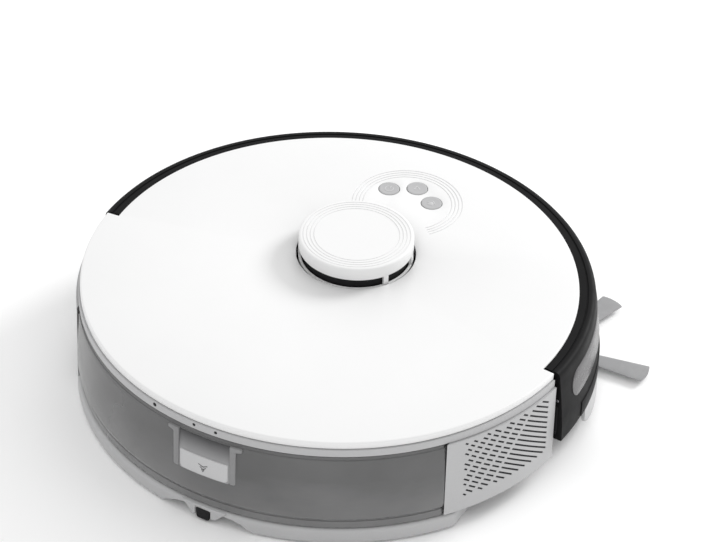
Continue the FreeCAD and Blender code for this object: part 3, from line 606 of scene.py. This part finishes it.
def piece(mesh, name, slot, body, stands_for=(), sharp=32.0, finish=None):
    """Turn a mesh in millimetres into a finished object that rides on a body.

    The finish names its material where that isn't the slot's own.
    """
    bmesh.ops.recalc_face_normals(mesh, faces=mesh.faces)
    bmesh.ops.scale(mesh, vec=(MM, MM, MM), verts=mesh.verts)
    data = bpy.data.meshes.new(name)
    mesh.to_mesh(data)
    mesh.free()
    smooth(data, sharp)
    made = bpy.data.objects.new(name, data)
    bpy.context.scene.collection.objects.link(made)
    data.materials.append(MATERIALS[finish or slot])
    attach(made, body)
    if stands_for:
        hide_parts(*stands_for)
    return made


def soften(node, width):
    """Round the hard edges of a CAD node without touching its mesh."""
    weld = node.modifiers.new("weld", "WELD")
    weld.merge_threshold = 2e-5
    bevel = node.modifiers.new("edges", "BEVEL")
    bevel.width = width * MM
    bevel.segments = 2
    bevel.limit_method = "ANGLE"
    bevel.angle_limit = math.radians(30)
    bevel.harden_normals = False
    normals = node.modifiers.new("normals", "WEIGHTED_NORMAL")
    normals.keep_sharp = True


def node_slots():
    """CAD node name to material slot, as the record says."""
    return {part["node"]: part["material_slot"] for part in frame["record"]["subparts"]}


BEVELS = {
    "upper_housing": 0.3, "side_panel_left": 0.25, "side_panel_right": 0.25, "chassis_pan": 0.5,
    "battery_cover": 0.5, "charge_contacts": 0.3, "cliff_windows": 0.3, "chassis_screws": 0.25,
    "brush_chamber": 0.4, "brush_guard": 0.6, "main_brush_core": 0.5, "side_brush_hub": 0.8,
    "wheel_rim_left": 0.8, "wheel_rim_right": 0.8,
    "bin_lid": 0.3, "dust_box": 0.4, "battery_pack": 1.5, "fan_housing": 0.6,
}


def dress_cad_nodes():
    """Materials and rounded edges for the CAD nodes, which keep their own meshes."""
    slots = node_slots()
    for name, node in frame["nodes"].items():
        node.data.materials.clear()
        node.data.materials.append(MATERIALS[slots[name]])
        soften(node, BEVELS.get(name, 0.2))


def groove(radius, width, centre, start, end):
    """Clockwise outline of an arc-shaped groove."""
    outer = arc(radius, end, start, centre)
    inner = arc(radius - width, start, end, centre)
    return outer + inner


def top_cover():
    """White lid: full radius round the back with a skirt, and inside the bumper's lip at the front."""
    rear_start = 90 + BUMPER_ANGLE + 1
    rear_end = 450 - BUMPER_ANGLE - 1
    front = arc(COVER_FRONT_RADIUS, rear_end - 360, rear_start, pitch=1.0)
    rear = arc(COVER_RADIUS, rear_start, rear_end, pitch=1.0)
    rounding = [(0.0, TOP - 1.3), (0.10, TOP - 0.75), (0.38, TOP - 0.30), (0.80, TOP - 0.06), (1.25, TOP)]
    holes = [circle(TURRET_HOLE, TURRET, 120, True)]
    holes += [circle(BUTTON_RADIUS + BUTTON_GAP, place, 48, True) for place in BUTTONS.values()]
    hole_section = [(0.0, TOP - 1.2), (0.0, TOP - 0.45), (0.12, TOP - 0.12), (0.4, TOP)]
    grooves = [groove(RING_RADIUS - step * GROOVE_PITCH, 0.8, (0, RING_Y), -38, 218) for step in range(4)]
    groove_section = [(-0.12, TOP - 0.45), (-0.08, TOP - 0.15), (0.06, TOP)]
    mesh = slab(front + rear, [(0.0, TOP - 1.32)] + rounding, holes=holes, hole_section=hole_section,
                pockets=grooves, pocket_section=groove_section)
    skirt_low = TOP - COVER_SKIRT
    skirt = rounded_section([(COVER_RADIUS - 2, skirt_low, 0.3), (COVER_RADIUS - 0.05, skirt_low, 0.5),
                             (COVER_RADIUS - 0.02, TOP - 1.25, 0), (COVER_RADIUS - 2, TOP - 1.25, 0)])
    add_sweep(mesh, steps(rear_start + 0.1, rear_end - 0.1, 172), lambda angle: skirt)
    piece(mesh, "top_cover_shell", "white_gloss", "root", ["top_cover"], 28)


def bumper_face(height):
    """Radius of the bumper's leaning face at a height."""
    for (low, first), (high, second) in zip(BUMPER_FACE, BUMPER_FACE[1:]):
        if height <= high:
            return first + (second - first) * max(0.0, height - low) / (high - low)
    return BUMPER_FACE[-1][1]


def bumper_section(angle):
    """Leaning skin with a full shoulder, a fine groove round the flat lip and closed ends."""
    low = BUMPER_BOTTOM
    at_end = abs(angle - 90) > BUMPER_ANGLE - BUMPER_END_SWEEP
    wall = BUMPER_END_DEPTH if at_end else BUMPER_WALL
    foot, top = BUMPER_FACE[0][1], BUMPER_FACE[-1][1]
    levels = (30, 35, 40, 44, 48, 52, 56, 60, 64, 68, 72, 75, 77.5)
    outer = [(foot - 0.2, low), (foot, low + 0.6)]
    outer += [(bumper_face(height), height) for height in levels]
    shoulder = [(top - 0.55, 79.2), (top - 1.35, 80.2), (top - 2.4, 80.8), (top - 3.6, BUMPER_TOP)]
    groove_line = [(166.6, BUMPER_TOP), (166.35, BUMPER_TOP - 0.7), (165.45, BUMPER_TOP - 0.7),
                   (165.2, BUMPER_TOP)]
    inner = [(BUMPER_LIP + 0.4, BUMPER_TOP), (BUMPER_LIP, BUMPER_TOP - 0.4),
             (BUMPER_LIP, BUMPER_TOP - 1.6), (top - wall, BUMPER_TOP - 1.9), (top - wall, 60),
             (foot - wall, low)]
    return outer + shoulder + groove_line + inner


def bumper():
    """Skin, soft strip, pale skirt, sensor panes and the parts in the closed ends."""
    first, last = 90 - BUMPER_ANGLE, 90 + BUMPER_ANGLE
    end = BUMPER_END_SWEEP
    turns = [first, first + 0.08, first + end, first + end + 0.01] + steps(first + 3, last - 3, 182)
    turns += [last - end - 0.01, last - end, last - 0.08, last]

    def section(angle):
        shrink = 0.35 if angle in (first, last) else 0.0
        middle = 170.0
        points = bumper_section(angle)
        return [(radius - shrink * (1 if radius > middle else -1), z) for radius, z in points]

    piece(sweep(turns, section), "bumper_skin", "bumper_black", "bumper", ["bumper_shell"], 26)
    low = BUMPER_BOTTOM + 0.5
    strip = rounded_section([(175.85, low, 0.1), (176.35, low + 0.2, 0.4), (176.35, low + 11.2, 0.4),
                             (175.7, low + 11.4, 0.1)])
    strip_mesh = sweep(steps(STRIP_START, STRIP_END, 169), lambda angle: strip)
    piece(strip_mesh, "bumper_soft_strip", "strip_grey", "bumper", ["bumper_strip"])
    skirt_mesh = sweep(steps(90 - SKIRT_ANGLE, 90 + SKIRT_ANGLE, 164), skirt_section)
    piece(skirt_mesh, "bumper_grey_skirt", "light_grey", "bumper", ["bumper_skirt"])
    panes = curved_window(sweep, 1, 40, 50, 70, 9.6)
    curved_window(lambda *rest: add_sweep(panes, *rest), 76, 104, 52, 66, 6.0)
    piece(panes, "bumper_sensor_panes", "sensor_window", "bumper", ["bumper_sensor_windows"])
    bumper_end_parts()


def skirt_section(angle):
    """Pale lower skirt whose bottom edge curves up at both ends."""
    past = max(0.0, abs(angle - 90) - SKIRT_BEND_ANGLE) / (SKIRT_ANGLE - SKIRT_BEND_ANGLE)
    low = SKIRT_BOTTOM + SKIRT_RISE * (1 - math.sqrt(max(0.0, 1 - min(1.0, past) ** 2)))
    outer, inner = SKIRT_RADIUS, SKIRT_RADIUS - BUMPER_WALL
    high = BUMPER_BOTTOM - 0.05
    return [(inner, low + 0.3), (inner + 0.3, low), (outer - 0.7, low), (outer - 0.2, low + 0.3),
            (outer, low + 0.9), (outer, high), (inner, high)]


def bumper_end_parts():
    """A dark rubber stop and a small bright screw let into each closed end."""
    stop = rounded_outline([(-2.6, 31, 0.9), (1.0, 31, 0.9), (1.0, 54, 0.9), (-2.6, 54, 0.9)])
    screw = circle(1.1, (0.2, 58.5), 20)
    turn = math.radians(-(BUMPER_ANGLE - 90))
    normal = Vector((math.sin(turn), -math.cos(turn)))
    along = Vector((math.cos(turn), math.sin(turn)))
    for side, name in ((1, "right"), (-1, "left")):
        for label, outline, slot, stand in (("stop", stop, "inner_black", 0.35),
                                            ("screw", screw, "screw_steel", 0.3)):
            mesh = slab(outline, [(0.0, -0.4), (0.0, stand - 0.15), (0.2, stand)])

            def stand_up(x, y, z):
                place = along * (170.6 + x) + normal * z
                return (side * place.x, place.y, y)

            reshape(mesh, stand_up)
            piece(mesh, "bumper_end_%s_%s" % (label, name), slot, "bumper")


def curved_window(build, start, end, low, high, rounding):
    """Stadium-shaped pane on the bumper's face, bevelled all round, made by the given builder."""
    radius = BUMPER_FACE[2][1]
    half_span = math.radians(end - start) / 2 * radius
    middle = (low + high) / 2
    half = (high - low) / 2

    def section(angle):
        along = abs(math.radians(angle - (start + end) / 2) * radius)
        past = max(0.0, along - (half_span - rounding))
        drop = rounding - math.sqrt(max(0.0, rounding ** 2 - past ** 2))
        reach = max(0.2, half - drop)
        crown = min(0.5, 0.1 + reach * 0.2)
        rim = min(0.5, reach * 0.4)
        back = [(bumper_face(middle + reach * share) - 0.05, middle + reach * share)
                for share in (1, 0.5, 0, -0.5, -1)]
        face = [(bumper_face(middle + (reach - rim) * share) + crown, middle + (reach - rim) * share)
                for share in (-1, -0.5, 0, 0.5, 1)]
        edge_low = (bumper_face(middle - reach) + crown * 0.6, middle - reach + rim * 0.2)
        edge_high = (bumper_face(middle + reach) + crown * 0.6, middle + reach - rim * 0.2)
        return back + [edge_low] + face + [edge_high]

    edge = math.degrees(rounding / radius)
    first = [start + edge * (1 - math.cos(math.radians(turn))) for turn in steps(0, 90, 14)]
    last = [end - edge * (1 - math.cos(math.radians(turn))) for turn in steps(90, 0, 14)]
    return build(first + steps(first[-1], last[0], 24)[1:-1] + last, section)


def bin_outline():
    """Outline of the bin, counter-clockwise: the arc round the back and a straight front."""
    half, corner = BIN_HALF_WIDTH, BIN_CORNER
    turn = math.degrees(math.asin(half / BIN_RADIUS))
    back = [(x, y, 0) for x, y in arc(BIN_RADIUS, -90 - turn + 1.0, -90 + turn - 1.0, pitch=1.0)]
    corners = [(*polar(BIN_RADIUS, -90 - turn), corner)] + back
    corners += [(*polar(BIN_RADIUS, -90 + turn), corner)]
    corners += [(half, BIN_FRONT, corner), (-half, BIN_FRONT, corner)]
    return rounded_outline(corners)


def tank():
    """Smoked tank with a moulded shoulder near the floor, hollow inside."""
    section = [(3.4, BIN_BOTTOM), (2.1, BIN_BOTTOM + 0.2), (1.5, BIN_BOTTOM + 0.9), (1.3, 18.6),
               (1.9, 19.0), (1.9, 19.8), (0.9, 20.4), (0.2, 21.6), (-0.05, 23.6), (-0.1, 33.0),
               (0.0, 44.0), (0.3, 55.0), (0.75, 65.0),
               (0.9, BIN_TOP - 3.2), (1.1, BIN_TOP - 2.6), (1.7, BIN_TOP - 2.3), (1.9, BIN_TOP - 1.9),
               (1.9, BIN_TOP - 0.5), (2.2, BIN_TOP - 0.1), (2.8, BIN_TOP - 0.05)]
    outline = bin_outline()
    mesh = slab(outline, section)
    cavity = [(inset + TANK_WALL, z) for inset, z in section[2:-3]]
    cavity[0] = (cavity[0][0], BIN_BOTTOM + TANK_WALL)
    add_slab(mesh, outline, cavity)
    piece(mesh, "tank_wall", "smoke_tank", "bin", ["tank_shell"], 35)


def hollow_out(x, y, z):
    """Wraps the finger hollow round the bin and slopes it inward toward the top."""
    slope = 0.55 * max(0.0, y - LATCH_TILT_START) / LATCH_TILT_RISE
    return wrap(BIN_RADIUS)(x, y, z + 0.05 - slope)


def latch():
    """Raised ribs round the release plate, the finger hollow over it, darkened with painted shade, and the
    plate itself.
    """
    for side, name, stands_for in ((-1, "left", []), (1, "right", ["latch_frame"])):
        rib = [(18.6 * side, 38.2, 1.0), (22.8 * side, 38.2, 1.5), (22.8 * side, 65.2, 0.8),
               (27.0 * side, 66.4, 0.6), (27.0 * side, 68.8, 0.6), (18.6 * side, 68.8, 0.6)]
        corners = rib if side > 0 else rib[::-1]
        mesh = slab(dense(rounded_outline(corners), 2.0), [(0.0, -1.2), (0.0, 0.3), (0.2, 0.6), (0.6, 0.78)])
        reshape(mesh, wrap(BIN_RADIUS))
        piece(mesh, "latch_rib_" + name, "smoke_tank", "bin", stands_for, 40, "latch_rib")

    hollow = rounded_outline([(-18.5, 37.6, 2.0), (18.5, 37.6, 2.0), (18.5, 68.4, 0.5), (-18.5, 68.4, 0.5)])
    mesh = slab(dense(hollow, 2.0), [(0.0, -1.4), (0.0, 0.0), (0.2, 0.12)])
    reshape(mesh, hollow_out)
    # The hollow is barely sunk; its darkening toward the top is painted shade.
    piece(mesh, "latch_hollow_painted_shade", "smoke_tank", "bin", sharp=40, finish="latch_hollow_painted_shade")

    plate = rounded_outline([(-17.6, 38.4, 3.0), (17.6, 38.4, 3.0), (17.6, 53.2, 0.8), (-17.6, 53.2, 0.8)])
    mesh = slab(dense(plate, 2.0), [(0.0, -0.6), (0.0, 0.35), (0.2, 0.62), (0.7, 0.74)])
    reshape(mesh, wrap(BIN_RADIUS))
    piece(mesh, "latch_plate", "mid_grey", "latch", ["bin_latch"], 40)

    mark = bmesh.new()
    for low, half in ((45.4, 3.6), (43.4, 2.4), (41.6, 1.2)):
        chevron = [(-half, low + 1.6), (-half + 0.5, low + 2.0), (0, low + 0.55), (half - 0.5, low + 2.0),
                   (half, low + 1.6), (0, low - 0.2)]
        add_slab(mark, chevron[::-1], [(0.0, 0.70), (0.0, 0.77), (0.05, 0.79)])
    reshape(mark, wrap(BIN_RADIUS))
    piece(mark, "latch_mark", "strip_grey", "latch")


def rim_holes():
    """Small dark dots that stand for the holes in the rim band; their black is painted shade in place of the
    holes' depth.
    """
    mesh = bmesh.new()
    for x, radius in RIM_HOLES:
        add_slab(mesh, circle(radius, (x, RIM_HOLE_HEIGHT), 24), [(0.0, -0.6), (0.0, 0.02), (0.1, 0.06)])
    reshape(mesh, wrap(BAND_RADIUS))
    piece(mesh, "rim_holes", "inner_black", "root")


def dark_vent_layer():
    """Dark layer set inside the right panel's wall, just under its face, that shows in its slots and makes
    them look black.
    """
    inner, outer = BIN_RADIUS - 0.95, BIN_RADIUS - 0.35
    wall = [(inner, DARK_LAYER_LOW), (outer, DARK_LAYER_LOW), (outer, DARK_LAYER_HIGH), (inner, DARK_LAYER_HIGH)]
    mesh = sweep(steps(-90 + DARK_LAYER_START, -90 + DARK_LAYER_END, 40), lambda angle: wall)
    piece(mesh, "vent_dark_layer", "inner_black", "root")


def mop_outline(inset=0.0):
    """Outline of the mop plate, counter-clockwise: curved behind, straight in front."""
    radius = BIN_RADIUS - inset
    half = MOP_HALF_WIDTH - inset
    turn = math.degrees(math.asin(half / radius))
    corners = [(*polar(radius, -90 - turn), MOP_CORNER)]
    corners += [(x, y, 0) for x, y in arc(radius, -90 - turn + 3.0, -90 + turn - 3.0, pitch=0.5)]
    corners += [(*polar(radius, -90 + turn), MOP_CORNER)]
    corners += [(half, MOP_FRONT - inset, 3.0), (-half, MOP_FRONT - inset, 3.0)]
    return rounded_outline(corners)


# Height of the plate's rear edge as (x, height) points, with a smooth step from each to the next.
NOTCH = ((-41, 0.0), (-33, 2.0), (-27, 5.0), (-20, 8.0), (-15, 9.2),
         (14, 9.0), (20, 8.3), (26, 6.6), (31, 3.2), (37, 0.0))


def notch_height(x):
    """How high the plate's rear edge is lifted round the release tab."""
    if not NOTCH[0][0] < x < NOTCH[-1][0]:
        return 0.0
    for (low, first), (high, second) in zip(NOTCH, NOTCH[1:]):
        if x <= high:
            share = (x - low) / (high - low)
            share = share * share * (3 - 2 * share)
            return first + (second - first) * share
    return 0.0


def mop_plate():
    """Plate with a rolled rim that hides the pad's edge, lifted in the middle round the tab."""
    section = [(9.0, 3.3), (7.6, 3.1), (6.0, 1.6), (4.6, 1.0), (2.0, 0.9), (0.9, 1.3), (0.25, 2.1),
               (0.0, 3.2), (0.0, 6.0), (0.0, 9.8), (0.3, 11.0), (1.0, 11.9), (2.2, MOP_TOP - 0.1),
               (5.0, MOP_TOP - 0.1)]
    mesh = slab(mop_outline(), section)

    def lift(x, y, z):
        if y < -150 and z < 9.6:
            z = max(z, min(9.7, notch_height(x) + (z - 0.9) * 0.12))
        return (x, y, z)

    reshape(mesh, lift)
    piece(mesh, "mop_carrier", "light_grey", "mop", ["mop_plate"], 40)
    mop_tab()


def mop_tab():
    """Ribbed release tab and the pale bracket round it."""
    bracket = rounded_outline([(-17, 12.2, 0.5), (-12.5, 8.6, 1.5), (-8.4, 4.0, 1.2), (-6.3, 3.4, 0.3),
                               (-6.0, 10.7, 0.4), (5.2, 10.6, 0.4), (5.3, 3.4, 0.3), (8.8, 3.9, 1.2),
                               (13.0, 8.2, 1.5), (17, 12.2, 0.5)])
    mesh = slab(dense(bracket, 2.0), [(0.0, -17.0), (0.0, 0.2), (0.25, 0.5), (0.7, 0.6)])
    piece(reshape(mesh, wrap(BIN_RADIUS)), "mop_tab_bracket", "light_grey", "mop", sharp=40)
    tab = rounded_outline([(-4.6, 1.6, 1.6), (3.6, 1.2, 1.4), (4.4, 3.0, 0.8), (4.4, 9.6, 1.0),
                           (-5.2, 9.9, 0.8), (-5.2, 3.6, 0.8)])
    mesh = slab(dense(tab, 2.0), [(0.0, -15.0), (0.0, 0.1), (0.3, 0.42), (0.8, 0.52)])
    for height in (3.4, 5.2, 7.0, 8.6):
        rib = rounded_outline([(-4.2, height - 0.35, 0.3), (3.3, height - 0.4, 0.3), (3.3, height + 0.3, 0.3),
                               (-4.2, height + 0.35, 0.3)])
        add_slab(mesh, rib, [(0.0, 0.2), (0.0, 0.58), (0.15, 0.68)])
    piece(reshape(mesh, wrap(BIN_RADIUS)), "mop_release_tab", "inner_black", "mop_tab", ["mop_release"], 40)


def mop_pad():
    """Looped cloth pad: a soft crowned slab, quilted and tufted underneath, cut back round the tab."""
    outline = mop_outline(PAD_INSET)
    outline = [(x, y if abs(x) > 34 or y > -100 else max(y, -147.0 + max(0.0, abs(x) - 26) * -2.4))
               for x, y in outline]
    section = [(3.6, 0.25), (1.4, 0.45), (0.4, 1.1), (0.0, 1.9), (0.2, 2.7), (0.9, 3.0)]
    mesh = slab(outline, section)
    bmesh.ops.triangulate(mesh, faces=mesh.faces)
    while long_edges := [edge for edge in mesh.edges if edge.calc_length() > PAD_EDGE]:
        bmesh.ops.subdivide_edges(mesh, edges=long_edges, cuts=1)
        bmesh.ops.triangulate(mesh, faces=mesh.faces)

    def tuft(x, y, z):
        wave = math.sin(x * 0.55 + 1.3 * math.sin(y * 0.17)) * math.sin(y * 0.61 + 0.9 * math.sin(x * 0.21))
        quilt = abs(math.sin(x * math.pi / 23.0)) ** 0.3
        if z < 1.0:
            z = max(0.02, z + 0.22 * wave + 0.9 * (1 - quilt))
        return (x, y, z)

    reshape(mesh, tuft)
    made = piece(mesh, "mop_cloth_pad", "mop_cloth", "mop", ["mop_pad"], 60)


def side_brush_arms():
    """Five flared soft arms, each moulded with fine ridges and a blunt tip."""
    mesh = bmesh.new()
    ridges = 14
    for arm in range(SIDE_ARM_COUNT):
        heading = SIDE_ARM_TURN + 360 / SIDE_ARM_COUNT * arm
        rows = []
        for share in steps(0, 1, 16):
            reach = 14 + (SIDE_ARM_LENGTH - 14.6) * share
            half = 3.0 + 5.3 * share ** 0.8
            tip = 1.2 * max(0.0, share - 0.9) * 10
            row_top, row_low = [], []
            for ridge in range(ridges * 2 + 1):
                across = -1 + ridge / ridges
                bulge = tip * (1 - across ** 2)
                ripple = 0.16 if ridge % 2 else 0.0
                rim = 0.35 * abs(across) ** 6
                x, y = reach - 1.2 + bulge, across * half
                px, py = polar(1.0, heading)
                wx = SIDE_BRUSH[0] + px * x - py * y
                wy = SIDE_BRUSH[1] + py * x + px * y
                row_top.append((wx, wy, 5.1 - ripple - rim - 0.25 * share))
                row_low.append((wx, wy, 3.3 + ripple * 0.5 + rim))
            rows.append(row_top + row_low[::-1])
        add_loft(mesh, rows)
    piece(mesh, "side_brush_blades", "arm_rubber", "side_brush", ["side_brush_arms"], 50)


def main_brush():
    """Roller sleeve with six chevron blades that each lean along the roller."""
    mesh = bmesh.new()
    stations = steps(BRUSH_LEFT + 0.3, BRUSH_RIGHT - 0.3, 72)
    middle = (BRUSH_LEFT + BRUSH_RIGHT) / 2
    twist = 50.0 / (BRUSH_RIGHT - middle)
    outline = []
    for blade in range(6):
        base = 60 * blade
        outline += [(19.0, base - 2.2), (19.0, base + 2.2), (14.0, base + 4.0), (10.6, base + 9.0)]
        outline += [(10.0, base + 14.0), (10.0, base + 30.0), (10.0, base + 46.0), (10.6, base + 51.0)]
        outline += [(14.0, base + 56.0)]
    rows = []
    for x in stations:
        lean = abs(x - middle) * twist
        row = []
        for radius, turn in outline:
            across, up = polar(radius, turn + lean)
            row.append((x, BRUSH_Y + across, BRUSH_Z + up))
        rows.append(row)
    add_loft(mesh, rows)
    piece(mesh, "main_brush_blades", "brush_rubber", "main_brush", ["main_brush_fins"], 35)


def tyre(side, label):
    """Tyre with slanted tread blocks, built about its own axis and stood on edge."""
    lugs = 30
    pitch = 360 / lugs
    mesh = bmesh.new()
    across = [(-12, 28.05), (-12, 32.0), (-11.0, 33.3), (-9.5, None), (-3.2, None), (-0.8, 33.4),
              (0.8, 33.4), (3.2, None), (9.5, None), (11.0, 33.3), (12, 32.0), (12, 28.05)]
    rows = []
    for lug in range(lugs):
        for share, raised in ((0.0, False), (0.06, True), (0.56, True), (0.62, False)):
            row = []
            for x, radius in across:
                lean = abs(x) * 0.55
                reach = radius if radius is not None else (34.95 if raised else 33.4)
                turn = (lug + share) * pitch + lean
                y, z = polar(reach, turn)
                row.append(mesh.verts.new((side * WHEEL_X + x * side, y, z + WHEEL_RADIUS)))
            rows.append(row)
    for low, high in zip(rows, rows[1:] + rows[:1]):
        bridge(mesh, low, high)
    piece(mesh, "tyre_tread_" + label, "tyre_rubber", "wheel_" + label, ["wheel_tyre_" + label], 25)


def turret_cap():
    """Cap on five posts, with four fine rings cut round its rim."""
    low, high = TURRET_WINDOW_TOP, TURRET_TOP
    rim = TURRET_RADIUS
    section = [(0.0, low + 2.0), (rim - 2.0, low + 2.0), (rim - 1.9, low + 0.15), (rim - 1.6, low),
               (rim - 0.4, low), (rim - 0.1, low + 0.15), (rim, low + 0.5), (rim, high - 1.5),
               (rim - 0.15, high - 0.85), (rim - 0.5, high - 0.35), (rim - 1.0, high - 0.08),
               (rim - 1.5, high)]
    for step in range(4):
        edge = rim - 2.3 - step * GROOVE_PITCH
        section += [(edge, high), (edge - 0.14, high - 0.35), (edge - 0.66, high - 0.35), (edge - 0.8, high)]
    section += [(20.0, high), (0.0, high)]
    mesh = lathe(section, TURRET, 144)
    post = [(rim - 1.9, 66.0), (rim, 66.0), (rim, low + 0.2), (rim - 1.9, low + 0.2)]
    for degrees in (-30, 15, 90, 165, 210):
        add_sweep(mesh, steps(degrees - 2.7, degrees + 2.7, 4), lambda angle: post, TURRET)
    collar = [(rim - 1.9, 74.0), (rim, 74.0), (rim, TOP - 1.6), (rim - 0.3, TOP - 1.2),
              (rim - 1.6, TOP - 1.2), (rim - 1.9, TOP - 1.6)]
    add_lathe(mesh, collar, TURRET, 144)
    piece(mesh, "turret_crown", "white_gloss", "root", ["turret_cap"], 24)


def button(name, place, icon):
    """Round key with a dished top and a generic raised mark."""
    top = TOP + 0.2
    section = [(0.0, TOP - 3.6), (BUTTON_RADIUS + 1.1, TOP - 2.9), (BUTTON_RADIUS + 1.1, TOP - 1.6),
               (BUTTON_RADIUS, TOP - 1.5), (BUTTON_RADIUS, top - 0.55), (BUTTON_RADIUS - 0.15, top - 0.2),
               (BUTTON_RADIUS - 0.5, top - 0.02), (BUTTON_RADIUS - 1.0, top),
               (BUTTON_RADIUS - 1.6, top - 0.05), (BUTTON_RADIUS - 3.5, top - 0.16), (0.0, top - 0.2)]
    key = "button_" + name
    piece(lathe(section, place, 64), "button_key_" + name, "button_grey", key, [key], 30)
    raised = [(0.0, top - 0.3), (0.0, top - 0.06), (0.05, top - 0.03)]
    mark = bmesh.new()
    for outline, holes in icon:
        moved = [(x + place[0], y + place[1]) for x, y in outline]
        cut_out = [[(x + place[0], y + place[1]) for x, y in hole] for hole in holes]
        add_slab(mark, moved, raised, holes=cut_out, hole_section=raised)
    piece(mark, "button_mark_" + name, "mid_grey", key)


def icons():
    """Generic marks: power, start and return to dock."""
    ring = arc(3.1, 120, 420, pitch=8) + arc(2.4, 420, 120, pitch=8)
    stroke = [(-0.35, 0.8), (0.35, 0.8), (0.35, 3.4), (-0.35, 3.4)]
    play = rounded_outline([(-1.7, -2.5, 0.4), (2.8, 0.0, 0.4), (-1.7, 2.5, 0.4)])
    play_hole = rounded_outline([(-1.0, -1.4, 0.2), (1.5, 0.0, 0.2), (-1.0, 1.4, 0.2)])[::-1]
    roof = rounded_outline([(-3.2, -0.1, 0.2), (-2.7, -0.6, 0.2), (0.0, 2.0, 0.2), (2.7, -0.6, 0.2),
                            (3.2, -0.1, 0.2), (0.0, 2.9, 0.3)])
    house = rounded_outline([(-1.9, -2.7, 0.3), (1.9, -2.7, 0.3), (1.9, -0.2, 0.1), (0.0, 1.3, 0.1),
                             (-1.9, -0.2, 0.1)])
    return {"left": [(ring, []), (stroke, [])], "middle": [(play, [play_hole])],
            "right": [(roof, []), (house, [])]}


# ---------------------------------------------------------------- stage, lights and camera

def stage():
    """Plain pale floor, large enough to fill the view."""
    mesh = bmesh.new()
    half = 6000.0
    corners = [(x * half, y * half, 0.0) for x, y in ((-1, -1), (1, -1), (1, 1), (-1, 1))]
    mesh.faces.new([mesh.verts.new(corner) for corner in corners])
    bmesh.ops.scale(mesh, vec=(MM, MM, MM), verts=mesh.verts)
    data = bpy.data.meshes.new("floor")
    mesh.to_mesh(data)
    mesh.free()
    floor = bpy.data.objects.new("floor", data)
    bpy.context.scene.collection.objects.link(floor)
    nodes = Nodes("pale_floor")
    nodes.colour(nodes.ramp(nodes.noise(3, 3), (0.3, 0.96), (0.7, 0.97)))
    nodes.set(Roughness=0.7)
    data.materials.append(nodes.material)


# Key light in metres and watts.
KEY_PLACE = Vector((1.05, 2.1, 1.35))
KEY_TARGET = Vector((0, 0, 0.05))
KEY_SIZE = 0.9
KEY_POWER = 40


def lights():
    """White surroundings and one soft key light ahead of the machine."""
    world = bpy.data.worlds.new("studio")
    world.use_nodes = True
    background = world.node_tree.nodes["Background"]
    background.inputs["Color"].default_value = (1.0, 1.0, 1.0, 1.0)
    background.inputs["Strength"].default_value = 1.0
    bpy.context.scene.world = world
    data = bpy.data.lights.new("key", "AREA")
    data.shape = "DISK"
    data.size = KEY_SIZE
    data.energy = KEY_POWER
    lamp = bpy.data.objects.new("key", data)
    lamp.location = KEY_PLACE
    lamp.rotation_mode = "QUATERNION"
    lamp.rotation_quaternion = (KEY_TARGET - KEY_PLACE).to_track_quat("-Z", "Y")
    bpy.context.scene.collection.objects.link(lamp)


AZIMUTH, ELEVATION, ROLL = 27.70, 37.43, 1.96
DISTANCE = 2.634
TARGET = Vector((0.0, 0.0, 0.083))
TARGET_SHIFT = (0.01732, 0.00547)
SENSOR_WIDTH = 36
LENS = 198.3


def camera():
    """Camera behind the right side: it looks down and forward with a long lens."""
    turn, lift, roll = (math.radians(value) for value in (AZIMUTH, ELEVATION, ROLL))
    ahead = Vector((-math.sin(turn) * math.cos(lift), math.cos(turn) * math.cos(lift), -math.sin(lift)))
    right = Vector((math.cos(turn), math.sin(turn), 0.0))
    up = right.cross(ahead)
    place = TARGET + right * TARGET_SHIFT[0] + up * TARGET_SHIFT[1] - ahead * DISTANCE
    rolled_right = right * math.cos(roll) + up * math.sin(roll)
    rolled_up = up * math.cos(roll) - right * math.sin(roll)
    data = bpy.data.cameras.new("camera")
    data.sensor_width = SENSOR_WIDTH
    data.lens = LENS
    data.clip_end = 50
    made = bpy.data.objects.new("camera", data)
    axes = Matrix((rolled_right, rolled_up, -ahead)).transposed()
    made.matrix_world = Matrix.Translation(place) @ axes.to_4x4()
    bpy.context.scene.collection.objects.link(made)
    bpy.context.scene.camera = made


# ---------------------------------------------------------------- build

bpy.context.scene.view_settings.view_transform = "Standard"
camera()
lights()
stage()
dress_cad_nodes()
top_cover()
bumper()
tank()
latch()
rim_holes()
dark_vent_layer()
mop_plate()
mop_pad()
side_brush_arms()
main_brush()
for wheel_side, wheel_label in ((-1, "left"), (1, "right")):
    tyre(wheel_side, wheel_label)
turret_cap()
marks = icons()
for button_name, button_place in BUTTONS.items():
    button(button_name, button_place, marks[button_name])
